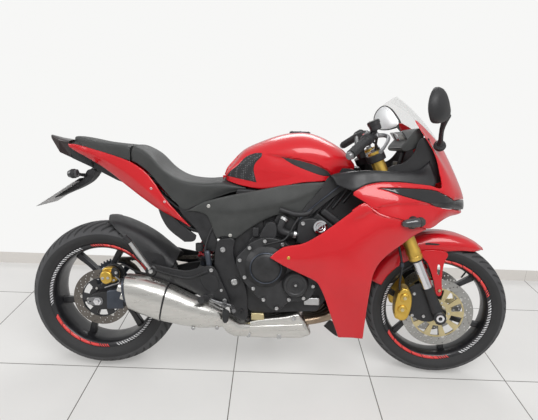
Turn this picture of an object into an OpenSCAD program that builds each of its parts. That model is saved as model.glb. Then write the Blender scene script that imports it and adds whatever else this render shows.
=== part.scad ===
// Faired sport motorcycle, parked on its side stand.
// Lengths in mm. X runs forward, Y to the rider's left, Z up from the floor.
// Everything is drawn upright, then leaned onto the stand by parked().

/* [Stance] */
// Lean onto the side stand, degrees
lean = 11; // [6:0.5:15]
// Steering angle as parked, degrees, minus is to the right
park_steer = -7.6; // [-28:0.1:28]
// Distance between the axles
wheelbase = 1437; // [1380:1:1500]
// Angle of the steering axis from the vertical, degrees
rake = 25.5; // [22:0.5:28]
// Ground trail of the front wheel
trail = 98.5; // [80:0.5:120]

/* [Wheels] */
// Radius over the front tread
front_tyre_r = 300; // [290:1:310]
// Width of the front tyre
front_tyre_w = 120; // [110:1:130]
// Radius over the rear tread
rear_tyre_r = 315; // [305:1:325]
// Width of the rear tyre
rear_tyre_w = 180; // [160:1:190]
// Radius of the bead seat
bead_r = 216; // [214:1:218]
// Height of the rim flange over the bead seat
flange_h = 12; // [8:1:14]
// Thickness of the rim wall
rim_wall = 7; // [5:0.5:10]
// Width between the front rim flanges
front_rim_w = 89; // [76:1:95]
// Width between the rear rim flanges
rear_rim_w = 140; // [120:1:150]
// Number of forked spokes in each wheel
spokes = 5; // [3:1:7]
// Radius of the front wheel hub
front_hub_r = 34; // [28:1:40]
// Radius of the rear wheel hub
rear_hub_r = 46; // [38:1:54]

/* [Brakes] */
// Radius of the front discs
front_disc_r = 148; // [140:1:155]
// Thickness of the front discs
front_disc_t = 5; // [4:0.5:6]
// Distance of each front disc from the middle
front_disc_y = 72; // [70:0.5:74]
// Radius of the rear disc
rear_disc_r = 120; // [100:1:125]
// Thickness of the rear disc
rear_disc_t = 5; // [4:0.5:6]
// Distance of the rear disc from the middle
rear_disc_y = 84; // [80:0.5:88]

/* [Fork] */
// Distance of each fork leg from the middle
fork_y = 104; // [102:0.5:110]
// Radius of the outer tubes
fork_outer_r = 27; // [25:0.5:28]
// Radius of the chrome sliders
slider_r = 20.5; // [19:0.5:21.5]
// Length of each outer tube below the lower clamp
outer_tube_drop = 250; // [180:1:280]
// Radius of the front axle
front_axle_r = 12; // [10:0.5:14]
// Bore through the hollow front axle
front_axle_bore = 8; // [5:0.5:9]
// Radius of the steering head tube
head_tube_r = 32; // [28:1:38]
// Half width over the bar ends
bar_half_w = 345; // [320:1:370]

/* [Bodywork] */
// Thickness of the painted panels
panel_t = 3.5; // [2.5:0.5:5]
// Thickness of the windscreen
screen_t = 3; // [2:0.5:4]
// Clearance between fitted pieces
fit = 0.3; // [0.2:0.1:0.6]

/* [Swingarm] */
// Height of the swingarm pivot
pivot_z = 423; // [400:1:440]
// Distance of the pivot behind the middle of the wheelbase
pivot_back = 154; // [140:1:165]
// Outer half width over the swingarm
swingarm_y = 134; // [130:1:140]
// Thickness of the right swingarm leg
swingarm_t = 30; // [24:1:32]
// Thickness of the left swingarm leg, beside the chain
swingarm_left_t = 20; // [16:1:20]
// Radius of the rear axle
rear_axle_r = 11; // [9:0.5:13]

/* [Stand] */
// How far out to the left the stand's foot reaches.
stand_reach = 262; // [245:1:280]
// Radius of the side stand leg
stand_r = 11; // [9:0.5:14]

/* [Hidden] */
$fn = 48;
half_base = wheelbase / 2;
stem_x = half_base + trail;
fork_off = front_tyre_r * sin(rake) - trail * cos(rake);
axle_s = (front_tyre_r - fork_off * sin(rake)) / cos(rake);
lower_clamp_s = 830;
upper_clamp_s = 1018;
clamp_h = 30;
shift_x = 7;
shift_y = -200;
shift_z = 2.9;
// The bodywork, engine and frame are drawn round a steering head at this place and height.
head_x = 397.26;
head_z = 880;
// How far they move when the stance changes, so that they follow the steering head.
body_x = stem_x - head_z * tan(rake) - head_x;

// Place the upright machine as it parks.
module parked() {
  translate([shift_x, shift_y, shift_z]) rotate([-lean, 0, 0]) children();
}

// Everything that hangs on the frame.
module on_body() {
  parked() translate([body_x, 0, 0]) children();
}

// Frame of the steering axis: Z up along the stem from the floor, X forward, Y left.
module at_stem() {
  translate([stem_x, 0, 0]) rotate([0, -rake, 0]) rotate([0, 0, park_steer]) children();
}

// Frame of the front axle, straight ahead and level, carried round by the steering.
module at_front_axle() {
  at_stem() translate([fork_off, 0, axle_s]) rotate([0, rake, 0]) children();
}

module at_rear_axle() {
  translate([-half_base, 0, rear_tyre_r]) children();
}

// Both mirrored copies of what is drawn on the left.
module both() {
  children();
  mirror([0, 1, 0]) children();
}

// Extrude a side outline [x, z] across the machine from y0 to y1.
module across(y0, y1) {
  translate([0, y1, 0]) rotate([90, 0, 0]) linear_extrude(y1 - y0) children();
}

// A straight round bar between two points.
module bar(a, b, r) {
  v = b - a;
  l = norm(v);
  translate(a) rotate([0, acos(v[2] / l), atan2(v[1], v[0])]) cylinder(r = r, h = l);
}

function unit(v) = v / norm(v);
// Points of a path with each corner rounded off over a length.
function eased(pts, cut = 30) = concat([pts[0]],
  [for (i = [1:1:len(pts) - 2]) let (p = pts[i], a = pts[i - 1] - p, b = pts[i + 1] - p,
    c = min(cut, norm(a) * 0.45, norm(b) * 0.45), u = p + unit(a) * c, w = p + unit(b) * c)
    for (t = [0, 0.33, 0.67, 1]) u * (1 - t) * (1 - t) + p * 2 * t * (1 - t) + w * t * t],
  [pts[len(pts) - 1]]);
function ways(p) = [for (i = [0:len(p) - 1])
  unit((i < len(p) - 1 ? unit(p[i + 1] - p[i]) : [0, 0, 0]) + (i > 0 ? unit(p[i] - p[i - 1]) : [0, 0, 0]))];
function sides_of(t, n, i = 0) = i == len(t) ? [] :
  let (m = unit(n - (n * t[i]) * t[i])) concat([m], sides_of(t, m, i + 1));

// A bent round tube along a path.
module bars(pts, r, cut = 30, faces = 12) {
  p = eased(pts, cut);
  t = ways(p);
  n = sides_of(t, abs(t[0][2]) > 0.8 ? [1, 0, 0] : [0, 0, 1]);
  loft([for (i = [0:len(p) - 1]) [for (k = [0:faces - 1]) let (a = 360 * k / faces)
    p[i] + r * (cos(a) * n[i] + sin(a) * cross(t[i], n[i]))]]);
}

// A closed solid through rings that all have the same count of points.
module loft(rings) {
  n = len(rings[0]);
  m = len(rings);
  points = [for (r = rings) for (p = r) p];
  sides = [for (j = [0:m - 2]) for (i = [0:n - 1]) for (k = [0, 1])
    k == 0 ? [j * n + i, (j + 1) * n + i, (j + 1) * n + (i + 1) % n]
           : [j * n + i, (j + 1) * n + (i + 1) % n, j * n + (i + 1) % n]];
  start = [for (i = [0:n - 1]) i];
  end = [for (i = [n - 1:-1:0]) (m - 1) * n + i];
  polyhedron(points = points, faces = concat([start], sides, [end]));
}

// A sheet of even thickness behind a grid of points, offset along the grid's own normals.
function at(g, j, i) = g[max(0, min(len(g) - 1, j))][max(0, min(len(g[0]) - 1, i))];
function inward(g, j, i) = unit(cross(at(g, j + 1, i) - at(g, j - 1, i), at(g, j, i + 1) - at(g, j, i - 1)));
module skin(g, t, in = 0) {
  m = len(g);
  n = len(g[0]);
  front = [for (j = [0:m - 1]) for (i = [0:n - 1]) g[j][i] + in * inward(g, j, i)];
  back = [for (j = [0:m - 1]) for (i = [0:n - 1]) g[j][i] + (in + t) * inward(g, j, i)];
  b = m * n;
  faces = [for (j = [0:m - 2]) for (i = [0:n - 2]) let (p = j * n + i, q = p + n)
    for (f = [[p, p + 1, q + 1], [p, q + 1, q], [b + p, b + q + 1, b + p + 1], [b + p, b + q, b + q + 1]]) f];
  ends = [for (i = [0:n - 2]) let (q = (m - 1) * n + i)
    for (f = [[i, b + i, b + i + 1], [i, b + i + 1, i + 1], [q, q + 1, b + q + 1], [q, b + q + 1, b + q]]) f];
  edges = [for (j = [0:m - 2]) let (p = j * n, q = p + n - 1)
    for (f = [[p, p + n, b + p + n], [p, b + p + n, b + p], [q, b + q, b + q + n], [q, b + q + n, q + n]]) f];
  polyhedron(points = concat(front, back), faces = [for (f = concat(faces, ends, edges)) turned(f)]);
}

function bez(a, b, c, t) = a * (1 - t) * (1 - t) + b * 2 * t * (1 - t) + c * t * t;

// A curved sheet from stations along X.
// Columns of a row: x, low z, high z, low y, middle y, high y.
SX = 0;
SLO = 1;
SHI = 2;
YLO = 3;
YMID = 4;
YHI = 5;
function sheet_side(r, in, k = 6) = [for (i = [0:k]) let (t = i / k)
  [r[SX], bez(r[YLO], 2 * r[YMID] - (r[YLO] + r[YHI]) / 2, r[YHI], t) - in, r[SLO] + (r[SHI] - r[SLO]) * t]];
function turned(a) = [for (i = [len(a) - 1:-1:0]) a[i]];
function sheet_ring(r, t, in = 0) = concat(sheet_side(r, in), turned(sheet_side(r, in + t)));
module side_sheet(rows, t, in = 0) {
  loft([for (r = rows) sheet_ring(r, t, in)]);
}

// A closed body with flat underside, from stations along X.
// Columns of a row: x, top z, shoulder z, shoulder half width, low z, low half width.
CX = 0;
CTOP = 1;
CSH = 2;
CW = 3;
CLOW = 4;
CWL = 5;
function half_arch(r, k = 6) = [for (i = [0:k]) let (a = 90 * i / k)
  [r[CX], r[CW] * cos(a), r[CSH] + (r[CTOP] - r[CSH]) * pow(sin(a), 0.9)]];
function body_ring(r) = let (h = half_arch(r), n = len(h) - 1) concat(
  [[r[CX], r[CWL], r[CLOW]]], h,
  [for (i = [n - 1:-1:0]) [r[CX], -h[i][1], h[i][2]]],
  [[r[CX], -r[CWL], r[CLOW]]]);
module body(rows) {
  loft([for (r = rows) body_ring(r)]);
}

// Tyres and wheels
// Outer line of a tyre section: share of the half width, share of the section height.
TYRE_LINE = [[1, 0.40], [0.985, 0.55], [0.93, 0.68], [0.8, 0.81], [0.6, 0.905], [0.35, 0.968], [0, 1]];
module tyre(r, w, rim_w) {
  h = r - bead_r;
  half = [for (p = TYRE_LINE) [p[0] * w / 2, bead_r + p[1] * h]];
  toe = rim_w / 2 - fit;
  outer = concat([[toe, bead_r + fit], [toe, bead_r + flange_h + 1]], half);
  skin = 8;
  inner = [for (p = half) [max(0, p[0] - skin * 0.9), p[1] - skin * (0.6 + 0.4 * (1 - p[0] / (w / 2)))]];
  right = concat(outer, turned(inner), [[toe - 12, bead_r + flange_h], [toe - 12, bead_r + fit]]);
  ring = concat(outer, [for (i = [len(half) - 2:-1:0]) [-half[i][0], half[i][1]]],
    [[-toe, bead_r + flange_h + 1], [-toe, bead_r + fit], [-toe + 12, bead_r + fit], [-toe + 12, bead_r + flange_h]],
    [for (p = inner) [-p[0], p[1]]], [for (i = [len(inner) - 2:-1:0]) inner[i]],
    [[toe - 12, bead_r + flange_h], [toe - 12, bead_r + fit]]);
  rotate([90, 0, 0]) rotate_extrude($fn = 72) polygon([for (p = ring) [p[1], p[0]]]);
}

module rim(w, hub_r, hub_half, spoke_w, spoke_t) {
  o = w / 2;
  f = 6;
  rotate([90, 0, 0]) rotate_extrude($fn = 72) polygon([
    [bead_r, -o], [bead_r + flange_h, -o], [bead_r + flange_h, -o - f], [bead_r - rim_wall, -o - f],
    [bead_r - rim_wall, -o + 10], [bead_r - rim_wall - 12, -spoke_t / 2 - 4], [bead_r - rim_wall - 12, spoke_t / 2 + 4],
    [bead_r - rim_wall, o - 10], [bead_r - rim_wall, o + f], [bead_r + flange_h, o + f],
    [bead_r + flange_h, o], [bead_r, o], [bead_r, o - 16], [bead_r - 10, o - 26],
    [bead_r - 10, -o + 26], [bead_r, -o + 16]]);
  rotate([90, 0, 0]) {
    cylinder(r = hub_r, h = 2 * hub_half, center = true);
    for (i = [0:spokes - 1]) rotate([0, 0, i * 360 / spokes + 18])
      linear_extrude(spoke_t, center = true) forked_spoke(hub_r, bead_r - rim_wall - 6, spoke_w);
  }
}

// One spoke that splits in two towards the rim.
module forked_spoke(r0, r1, w) {
  split = r0 + (r1 - r0) * 0.34;
  spread = r1 * 0.22;
  polygon([[r0 - 6, -w * 0.75], [split, -w * 0.62], [r1, -spread - w * 0.5], [r1 + 3, -spread + w * 0.45],
    [split + w * 1.1, 0], [r1 + 3, spread - w * 0.45], [r1, spread + w * 0.5], [split, w * 0.62], [r0 - 6, w * 0.75]]);
}

module front_wheel_rim() color("#1b1b1d") parked() at_front_axle() difference() {
  rotate([0, 14, 0]) rim(front_rim_w, front_hub_r, front_disc_y - front_disc_t / 2 - fit, 15, 22);
  rotate([90, 0, 0]) cylinder(r = front_axle_r + 0.05, h = 300, center = true);
}
module front_tyre() color("#161616") parked() at_front_axle() tyre(front_tyre_r, front_tyre_w, front_rim_w);
module front_discs() color("#8d9094") parked() at_front_axle() both() translate([0, front_disc_y, 0])
  brake_disc(front_disc_r, front_disc_t, front_axle_r + 14, 36);
module rear_wheel_rim() color("#1b1b1d") parked() at_rear_axle() difference() {
  union() {
    rotate([0, 8, 0]) rim(rear_rim_w, rear_hub_r, rear_disc_y - rear_disc_t / 2 - fit, 17, 26);
    translate([0, chain_y, 0]) rotate([90, 0, 0]) sprocket();
  }
  rotate([90, 0, 0]) cylinder(r = rear_axle_r + 0.05, h = 300, center = true);
}
module rear_tyre() color("#161616") parked() at_rear_axle() tyre(rear_tyre_r, rear_tyre_w, rear_rim_w);
module rear_disc() color("#8d9094") parked() at_rear_axle() translate([0, -rear_disc_y, 0])
  brake_disc(rear_disc_r, rear_disc_t, rear_hub_r - 18, 30);

// A disc with a ring of drilled holes and an open carrier.
module brake_disc(r, t, bore, holes) {
  rotate([90, 0, 0]) difference() {
    cylinder(r = r, h = t, center = true, $fn = 72);
    cylinder(r = bore, h = t + 2, center = true);
    for (i = [0:9]) rotate([0, 0, i * 36]) translate([r * 0.53, 0, 0]) cylinder(r = r * 0.1, h = t + 2, center = true, $fn = 20);
    for (i = [0:holes / 2 - 1]) rotate([0, 0, i * 720 / holes]) translate([r * 0.86, 0, 0])
      cylinder(r = 4.2, h = t + 2, center = true, $fn = 13);
  }
}

// Chain drive
chain_pitch = 15.875;
rear_teeth = 46;
front_teeth = 16;
function pitch_r(n) = chain_pitch / (2 * sin(180 / n));
roller_r = 5;
front_sprocket = [-95, 430];
chain_y = 103.5;
module sprocket() {
  r = pitch_r(rear_teeth) - roller_r - 0.8;
  difference() {
    cylinder(r = r, h = 6.5, center = true, $fn = 92);
    for (i = [0:4]) rotate([0, 0, i * 72]) translate([r * 0.68, 0, 0]) cylinder(r = 15, h = 8, center = true, $fn = 24);
  }
  cylinder(r = rear_hub_r - 6, h = 40);
}
// Outline of a belt round both sprockets, as two circles and the straight runs between them.
module chain_loop(grow) {
  a = front_sprocket + [body_x, 0];
  b = [-half_base, rear_tyre_r];
  ra = pitch_r(front_teeth) + grow;
  rb = pitch_r(rear_teeth) + grow;
  d = b - a;
  way = atan2(d[1], d[0]);
  open = acos((ra - rb) / norm(d));
  translate(a) circle(r = ra, $fn = 40);
  translate(b) circle(r = rb, $fn = 80);
  polygon([a + ra * [cos(way + open), sin(way + open)], b + rb * [cos(way + open), sin(way + open)],
    b + rb * [cos(way - open), sin(way - open)], a + ra * [cos(way - open), sin(way - open)]]);
}
module chain_band(y0, y1, out, in) {
  across(y0, y1) difference() {
    chain_loop(out);
    chain_loop(-in);
  }
}
module drive_chain() color("#55504a") parked() {
  chain_band(chain_y - 9, chain_y - 4.2, 7, 7);
  chain_band(chain_y + 4.2, chain_y + 9, 7, 7);
  chain_band(chain_y - 4.3, chain_y + 4.3, roller_r, roller_r);
}

// Swingarm, hugger, shock
pivot = [body_x - pivot_back, pivot_z];
rear_axle = [-half_base, rear_tyre_r];
module swingarm_side() {
  polygon([pivot + [26, 24], pivot + [34, 0], pivot + [22, -34], pivot + [-226, -78], rear_axle + [78.5, -32],
    rear_axle + [-16.5, -35], rear_axle + [-33.5, -23], rear_axle + [-33.5, 23], rear_axle + [-16.5, 35],
    rear_axle + [78.5, 37], pivot + [-226, 3], pivot + [-10, 29]]);
}
module swingarm() color("#2b3038") parked() {
  difference() {
    union() {
      across(-swingarm_y, -swingarm_y + swingarm_t) swingarm_side();
      across(swingarm_y - swingarm_left_t, swingarm_y) swingarm_side();
      across(-swingarm_y + swingarm_t - 1, swingarm_y - swingarm_left_t + 1)
        polygon([pivot + [-121, -45], pivot + [-121, 19], pivot + [-171, 9], pivot + [-171, -51]]);
      translate([pivot[0], 0, pivot[1]]) rotate([90, 0, 0]) cylinder(r = 31, h = 2 * (swingarm_y - 12), center = true);
    }
    across(-swingarm_y - 1, swingarm_y + 1)
      translate(rear_axle + [-16, -rear_axle_r - 0.05]) square([32, 2 * rear_axle_r + 0.1]);
    across(-swingarm_y - 1, swingarm_y + 1) translate(pivot) circle(r = 10 + 0.05);
    across(30, swingarm_y - swingarm_left_t - 0.5) difference() {
      chain_loop(12);
      chain_loop(-12);
    }
  }
  at_rear_axle() {
    rotate([90, 0, 0]) cylinder(r = rear_axle_r, h = 2 * swingarm_y + 16, center = true);
    both() translate([0, swingarm_y, 0]) rotate([-90, 0, 0]) cylinder(r = 17, h = 12, $fn = 6);
  }
}

// Arch over a wheel: part ring of a curved section, cut to an outline.
module arch(r, half_w, t, depth, a0, a1) {
  sec = concat([for (i = [-8:8]) let (s = i / 8) [r - depth * pow(abs(s), 2.4), s * half_w]],
    [for (i = [8:-1:-8]) let (s = i / 8) [r - t - (depth) * pow(abs(s), 2.4), s * (half_w - t * 0.9)]]);
  rotate([90, 0, 0]) rotate([0, 0, a0]) rotate_extrude(angle = a1 - a0, $fn = 96) polygon(sec);
}

module rear_hugger() color("#1d1d1f") parked() at_rear_axle() {
  intersection() {
    arch(rear_tyre_r + 27, 104, 3, 70, 20, 92);
    across(-120, 120) polygon([[-2, 385], [14, 330], [60, 300], [106, 262], [141, 196], [192, 148], [336, 145],
      [338, 205], [279, 305], [159, 405]]);
  }
  across(-103, -99) polygon([[158, 185], [198, 155], [238, 97], [256, 93], [278, 155], [248, 245]]);
}

module shock_absorber() color("#b01218") on_body() {
  top = [-262, 0, 640];
  low = [-305, 0, 446];
  difference() {
    bar(low, top, 14);
    bar([-262, -30, 640], [-262, 30, 640], 7);
  }
  for (i = [0:6]) translate(low + (top - low) * (0.2 + i * 0.1)) rotate([0, 12.5, 0])
    rotate_extrude() translate([26, 0]) circle(r = 6, $fn = 12);
  translate(low + (top - low) * 0.14) rotate([0, 12.5, 0]) cylinder(r = 32, h = 8);
  translate(low + (top - low) * 0.84) rotate([0, 12.5, 0]) cylinder(r = 32, h = 8);
}

module rear_caliper() color("#a5803e") parked() at_rear_axle() {
  difference() {
    across(-swingarm_y + 4, -62) polygon([[14, 88], [8, 128], [20, 143], [66, 146], [92, 122], [98, 98], [88, 74], [40, 72]]);
    translate([0, -rear_disc_y, 0]) rotate([90, 0, 0]) cylinder(r = rear_disc_r + 3, h = rear_disc_t + 2, center = true);
  }
  across(-swingarm_y + 4, -swingarm_y + 12) polygon([[28, 38], [28, 85], [78, 85], [78, 38]]);
}

// Chassis
spar_y = 118;
spar_r = 17;
module frame() color("#202225") on_body() {
  at_stem_fixed() difference() {
    translate([0, 0, lower_clamp_s + clamp_h + fit]) cylinder(r = head_tube_r, h = upper_clamp_s - lower_clamp_s - clamp_h - 2 * fit);
    translate([0, 0, lower_clamp_s]) cylinder(r = stem_r + 0.05, h = 300);
  }
  both() {
    bars([off_stem(950, -19.3, 14.2), [310, 96, 815], [200, spar_y, 790], [40, spar_y, 775], [-110, spar_y, 655], [-196, spar_y, 590]], spar_r);
    bars([off_stem(890, -16, 17.9), [348, 112, 742], [316, head_half_w + fit + 13, 706], [285, head_half_w + fit + 13, 655]], 13);
  }
  bar([-196, -spar_y - spar_r, 590], [-196, spar_y + spar_r, 590], 20);
  bar(off_stem(936, 24, 0), [505, 0, 905], 11);
  across(-34, 34) polygon([[500, 890], [512, 890], [516, 930], [504, 930]]);
}
stem_r = 15;
// A point at a height along the stem, a distance ahead of it and to the left.
function off_stem(s, ahead, y) = [stem_x - body_x - s * sin(rake) + ahead * cos(rake), y, s * cos(rake) + ahead * sin(rake)];
module at_stem_fixed() {
  translate([stem_x - body_x, 0, 0]) rotate([0, -rake, 0]) children();
}

PIVOT_PLATE = [[-214, 588], [-160, 590], [-172, 533], [-103, 392], [-104, 285], [-158, 282], [-200, 380], [-232, 452], [-243, 500]];
module pivot_plates() color("#17181a") on_body() difference() {
  union() {
    both() across(swingarm_y + 3, swingarm_y + 15) polygon(PIVOT_PLATE);
    translate([-pivot_back, 0, pivot_z]) rotate([90, 0, 0]) cylinder(r = 10, h = 2 * swingarm_y + 44, center = true);
    both() across(engine_half_w + fit, swingarm_y + 4) translate([-112, 345]) circle(r = 14);
    across(132, 142) polygon([[-152, 294], [-118, 294], [-60, 268], [6, 246], [8, 205], [-30, 196], [-152, 250]]);
    at_stand() {
      translate([0, 0, -14]) cylinder(r = 19, h = 14 - fit);
      translate([0, 0, -10]) cylinder(r = stand_pin_r, h = 28);
    }
  }
  both() across(swingarm_y, swingarm_y + 20) translate([-204, 553]) circle(r = 9);
}

module subframe() color("#1c1d20") on_body() both() {
  bars([[-216.6, 100, 603], [-350, 92, 676], [-520, 84, 800], [-760, 62, 900]], 12, 20);
  bars([[-216.6, 100, 596], [-360, 92, 630], [-560, 82, 792], [-600, 78, 834]], 10, 20);
}

// Engine
CRANKCASE = [[-104, 545], [-92, 606], [20, 632], [110, 590], [235, 560], [262, 500], [236, 380], [190, 302], [-70, 284], [-112, 318], [-112, 500]];
engine_half_w = 135;
head_half_w = 158;
module engine_block() color("#26272a") on_body() {
  difference() {
    across(-engine_half_w, engine_half_w) polygon(CRANKCASE);
    across(80, 160) translate([-body_x, 0]) chain_loop(14);
  }
  translate([150, 0, 560]) rotate([0, 36, 0]) {
    translate([-72, -head_half_w + 6, -10]) cube([140, 2 * head_half_w - 12, 108.5]);
    translate([-82, -head_half_w, 98]) cube([158, 2 * head_half_w, 74]);
    for (i = [0:8]) translate([-78, -head_half_w + 2, 10 + i * 9]) cube([152, 2 * head_half_w - 4, 3.5]);
  }
}

module engine_covers() color("#1a1b1d") on_body() {
  across(-190, -engine_half_w - fit) polygon([[-139, 533], [-102, 579], [-37, 605], [35, 593], [110, 500], [167, 430], [127, 373], [22, 329], [-33, 362], [-73, 409], [-113, 460]]);
  across(-212, -190) translate([-23, 503]) circle(r = 75);
  across(-208, -190) translate([86, 436]) circle(r = 45);
  across(engine_half_w + fit, 196) translate([86, 436]) circle(r = 92);
  across(engine_half_w + fit, 172) polygon([[-94, 488], [-40, 500], [10, 440], [-40, 380], [-90, 372]]);
}

module radiator() color("#2a2c2f") on_body() difference() {
  translate([352, 0, 480]) rotate([0, 10, 0]) union() {
    translate([-15, -160, -120]) cube([30, 320, 240]);
    translate([-19, -185, -124]) cube([38, 30, 248]);
    translate([-19, 155, -124]) cube([38, 30, 248]);
  }
  translate([352, 0, 480]) rotate([0, 10, 0]) for (i = [0:13])
    translate([11, -150, -114 + i * 16.5]) cube([10, 300, 12]);
}

module exhaust_headers() color("#7a6a5c") on_body() {
  for (i = [0:3]) let (y = -132 + i * 88, c = -75 + i * 22)
    bars([[291.4, y, 624.6], [324, y, 601], [316, y * 0.98, 540], [284, y * 0.9, 345], [225, c - 20, 260], [120, c - 30, 244]], 17);
}
module exhaust_shield() color("#b9bcc0") on_body() {
  difference() {
    across(-150, 44) polygon([[-110, 186], [-110, 250], [-44, 266], [118, 292], [150, 270], [150, 196], [60, 182], [-90, 182]]);
    across(-147, 41) polygon([[-107, 188], [-107, 247.5], [-44, 263], [118, 289], [152, 268], [152, 198], [60, 185], [-89, 185]]);
  }
}
// Sections of the silencer from the front, an oval between a top and a bottom point of its side outline.
// Columns of a row: top x, top z, bottom x, bottom z, middle y, half width.
SILENCER = [[-172, 300, -184, 250, -174, 24], [-196, 322, -203, 247, -184, 35], [-262, 354, -281, 249, -198, 47],
  [-320, 378, -350, 261, -204, 52], [-388, 414, -421, 276, -208, 56], [-499, 449, -500, 303, -212, 57],
  [-569, 455, -552, 326, -214, 54], [-578, 447, -563, 334, -214, 46]];
TX = 0;
TZ = 1;
BX = 2;
BZ = 3;
OY = 4;
OW = 5;
function oval(r, n = 24) = [for (i = [0:n - 1]) let (a = 360 * i / n, u = (1 + sin(a)) / 2)
  [r[BX] + (r[TX] - r[BX]) * u, r[OY] - r[OW] * cos(a), r[BZ] + (r[TZ] - r[BZ]) * u]];
module silencer() color("#a6a9ad") on_body() {
  bars([[-110.3, -100, 218], [-142, -100, 218], [-166, -114, 226], [-206, -150, 256], [-240, -178, 290]], 24);
  loft([for (r = SILENCER) oval(r)]);
}

// Fuel tank and seats
TANK = [[-212, 858, 850, 60, 838, 60], [-184, 906, 872, 88, 824, 86], [-134, 958, 892, 112, 814, 106],
  [-62, 994, 910, 130, 806, 124], [20, 1024, 925, 142, 820, 138], [98, 1036, 930, 150, 838, 148],
  [160, 1027, 925, 151, 842, 150], [222, 1001, 918, 142, 850, 140], [275, 969, 915, 118, 870, 112],
  [314, 926, 906, 88, 890, 84]];
cap_x = 95;
cap_r = 44;
cap_neck_r = 34;
module fuel_tank() color("#c4161c") on_body() difference() {
  body(TANK);
  translate([cap_x, 0, 1005]) cylinder(r = cap_neck_r, h = 60);
}
module fuel_cap() color("#9a9da1") on_body() translate([cap_x, 0, 1036.3]) {
  cylinder(r = cap_r, h = 7);
  translate([0, 0, -18]) cylinder(r = cap_neck_r - 8, h = 19);
  translate([cap_r - 2, 0, 3.7]) rotate([90, 0, 0]) cylinder(r = 5, h = 24, center = true);
}
RIDER_SEAT = [[-545, 946, 925, 108, 890, 104], [-520, 938, 915, 122, 868, 118], [-475, 898, 876, 130, 812, 124],
  [-423, 867, 845, 136, 762, 130], [-365, 843, 822, 138, 716, 130], [-307, 832, 808, 136, 724, 128],
  [-269, 832, 806, 132, 740, 124], [-214, 832, 812, 122, 775, 112], [-170, 812, 806, 110, 786, 104], [-118, 806, 802, 104, 795, 100]];
module rider_seat() color("#2c2d30") on_body() body(RIDER_SEAT);
PILLION_SEAT = [[-832, 985, 978, 52, 968, 50], [-800, 985, 976, 78, 955, 76], [-730, 972, 962, 98, 938, 94],
  [-631, 964, 948, 112, 908, 108], [-570, 962, 940, 118, 894, 114], [-548, 958, 936, 112, 893, 108]];
module pillion_seat() color("#2c2d30") on_body() body(PILLION_SEAT);

// Tail
TAIL_PANEL = [[-850, 934, 957, 66, 72, 74], [-785, 900, 936, 78, 84, 86], [-711, 860, 921, 92, 100, 104],
  [-642, 809, 906, 102, 113, 117], [-583, 762, 889, 106, 118, 122], [-499, 712, 826, 116, 127, 130],
  [-430, 682, 752, 126, 132, 134], [-380, 661, 698, 131, 134, 135], [-336, 637, 647, 134.6, 135.3, 135]];
module tail_panels() color("#c4161c") on_body() both() side_sheet(TAIL_PANEL, panel_t, 2);
TAIL_TRAY = [[-850, 956, 938, 60, 896, 40], [-766, 930, 908, 60, 862, 50], [-760, 927, 905, 49.6, 858, 44],
  [-660, 880, 862, 58, 812, 52], [-606, 846, 832, 60, 794, 54]];
module tail_tray() color("#1c1d20") on_body() body(TAIL_TRAY);
module tail_lamp() color("#7d1218") on_body() body([[-948, 990, 984, 12, 975, 10], [-905, 980, 968, 40, 918, 30], [-850.3, 972, 962, 64, 898, 44]]);
module number_plate_bracket() color("#1c1d20") on_body() {
  across(-32, 32) polygon([[-788, 846], [-760, 846], [-782, 800], [-870, 752], [-930, 727], [-934, 733], [-830, 793], [-806, 815]]);
  across(-92, 92) polygon([[-806, 804], [-809, 809], [-988, 706], [-985, 701]]);
  both() bar([-800, 20, 828], [-806, 118, 838], 6);
  both() translate([-806, 118, 838]) scale([1, 1, 1]) sphere(r = 17);
}

SIDE_COVER = [[-372, 698, 704, 128, 129, 130], [-310, 672, 706, 134, 137, 138], [-264, 655, 724, 138, 141, 141],
  [-226, 594, 740, 141, 145, 142], [-150, 598, 760, 143, 148, 140], [-62, 668, 800, 147, 151, 140],
  [15, 702, 806, 150, 153, 142], [88, 684, 816, 153, 155, 146], [150, 740, 826, 153, 155, 150], [203, 830, 840, 151.6, 152.4, 152]];
module side_covers() color("#2f3033") on_body() both() side_sheet(SIDE_COVER, panel_t);

// Fairing
FAIRING = [[-13, 541, 555, 231, 232, 231.5], [41, 517, 594, 232, 234, 236], [110, 486, 610, 232, 238, 240],
  [169, 458, 642, 230, 240, 244], [190, 430, 662, 226, 240, 246], [235, 318, 698, 206, 238, 248],
  [271, 229, 734, 178, 236, 250], [279, 208, 742, 172, 235, 250], [318, 206, 768, 170, 235, 252],
  [340, 206, 774, 170, 235, 254], [362, 206, 758, 172, 235, 256], [378, 207, 748, 176, 235, 257],
  [382, 359, 745, 206, 238, 257], [389, 484, 741, 222, 240, 258], [409, 539, 732, 226, 243, 259],
  [451, 583, 723, 226, 246, 256], [500, 620, 708, 222, 242, 244], [535, 648, 696, 215, 232, 228], [588, 672, 680, 200, 203, 201]];
module fairing_right() color("#c4161c") on_body() mirror([0, 1, 0]) side_sheet(FAIRING, panel_t);
module fairing_left() color("#c4161c") on_body() side_sheet(FAIRING, panel_t);

// Nose stations from the rear of the side to the middle of the front.
// Columns of a row: low point, a point half way up, high point.
NOSE = [
  [[291, 236, 803], [291, 237, 809], [291, 236, 815]],
  [[335, 250, 779], [335, 247, 808], [335, 232, 842]],
  [[391, 257, 741], [391, 251, 795], [391, 224, 855]],
  [[440, 259, 728], [440, 250, 790], [440, 219, 857]],
  [[479, 257, 719], [479, 246, 785], [479, 214, 857]],
  [[540, 241, 697], [540, 232, 770], [540, 205, 852]],
  [[590, 212, 681], [590, 213, 760], [592, 194, 847]],
  [[622, 185, 684], [630, 194, 757], [641, 180, 838]],
  [[655, 152, 697], [674, 172, 775], [634, 170, 893]],
  [[690, 120, 711], [716, 140, 795], [611, 150, 978]],
  [[722, 85, 725], [753, 100, 805], [541, 112, 1097]],
  [[745, 44, 736], [779, 52, 806], [628, 60, 1043]],
  [[754, 0, 741], [788, 0, 803], [702, 0, 985]]];
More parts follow.
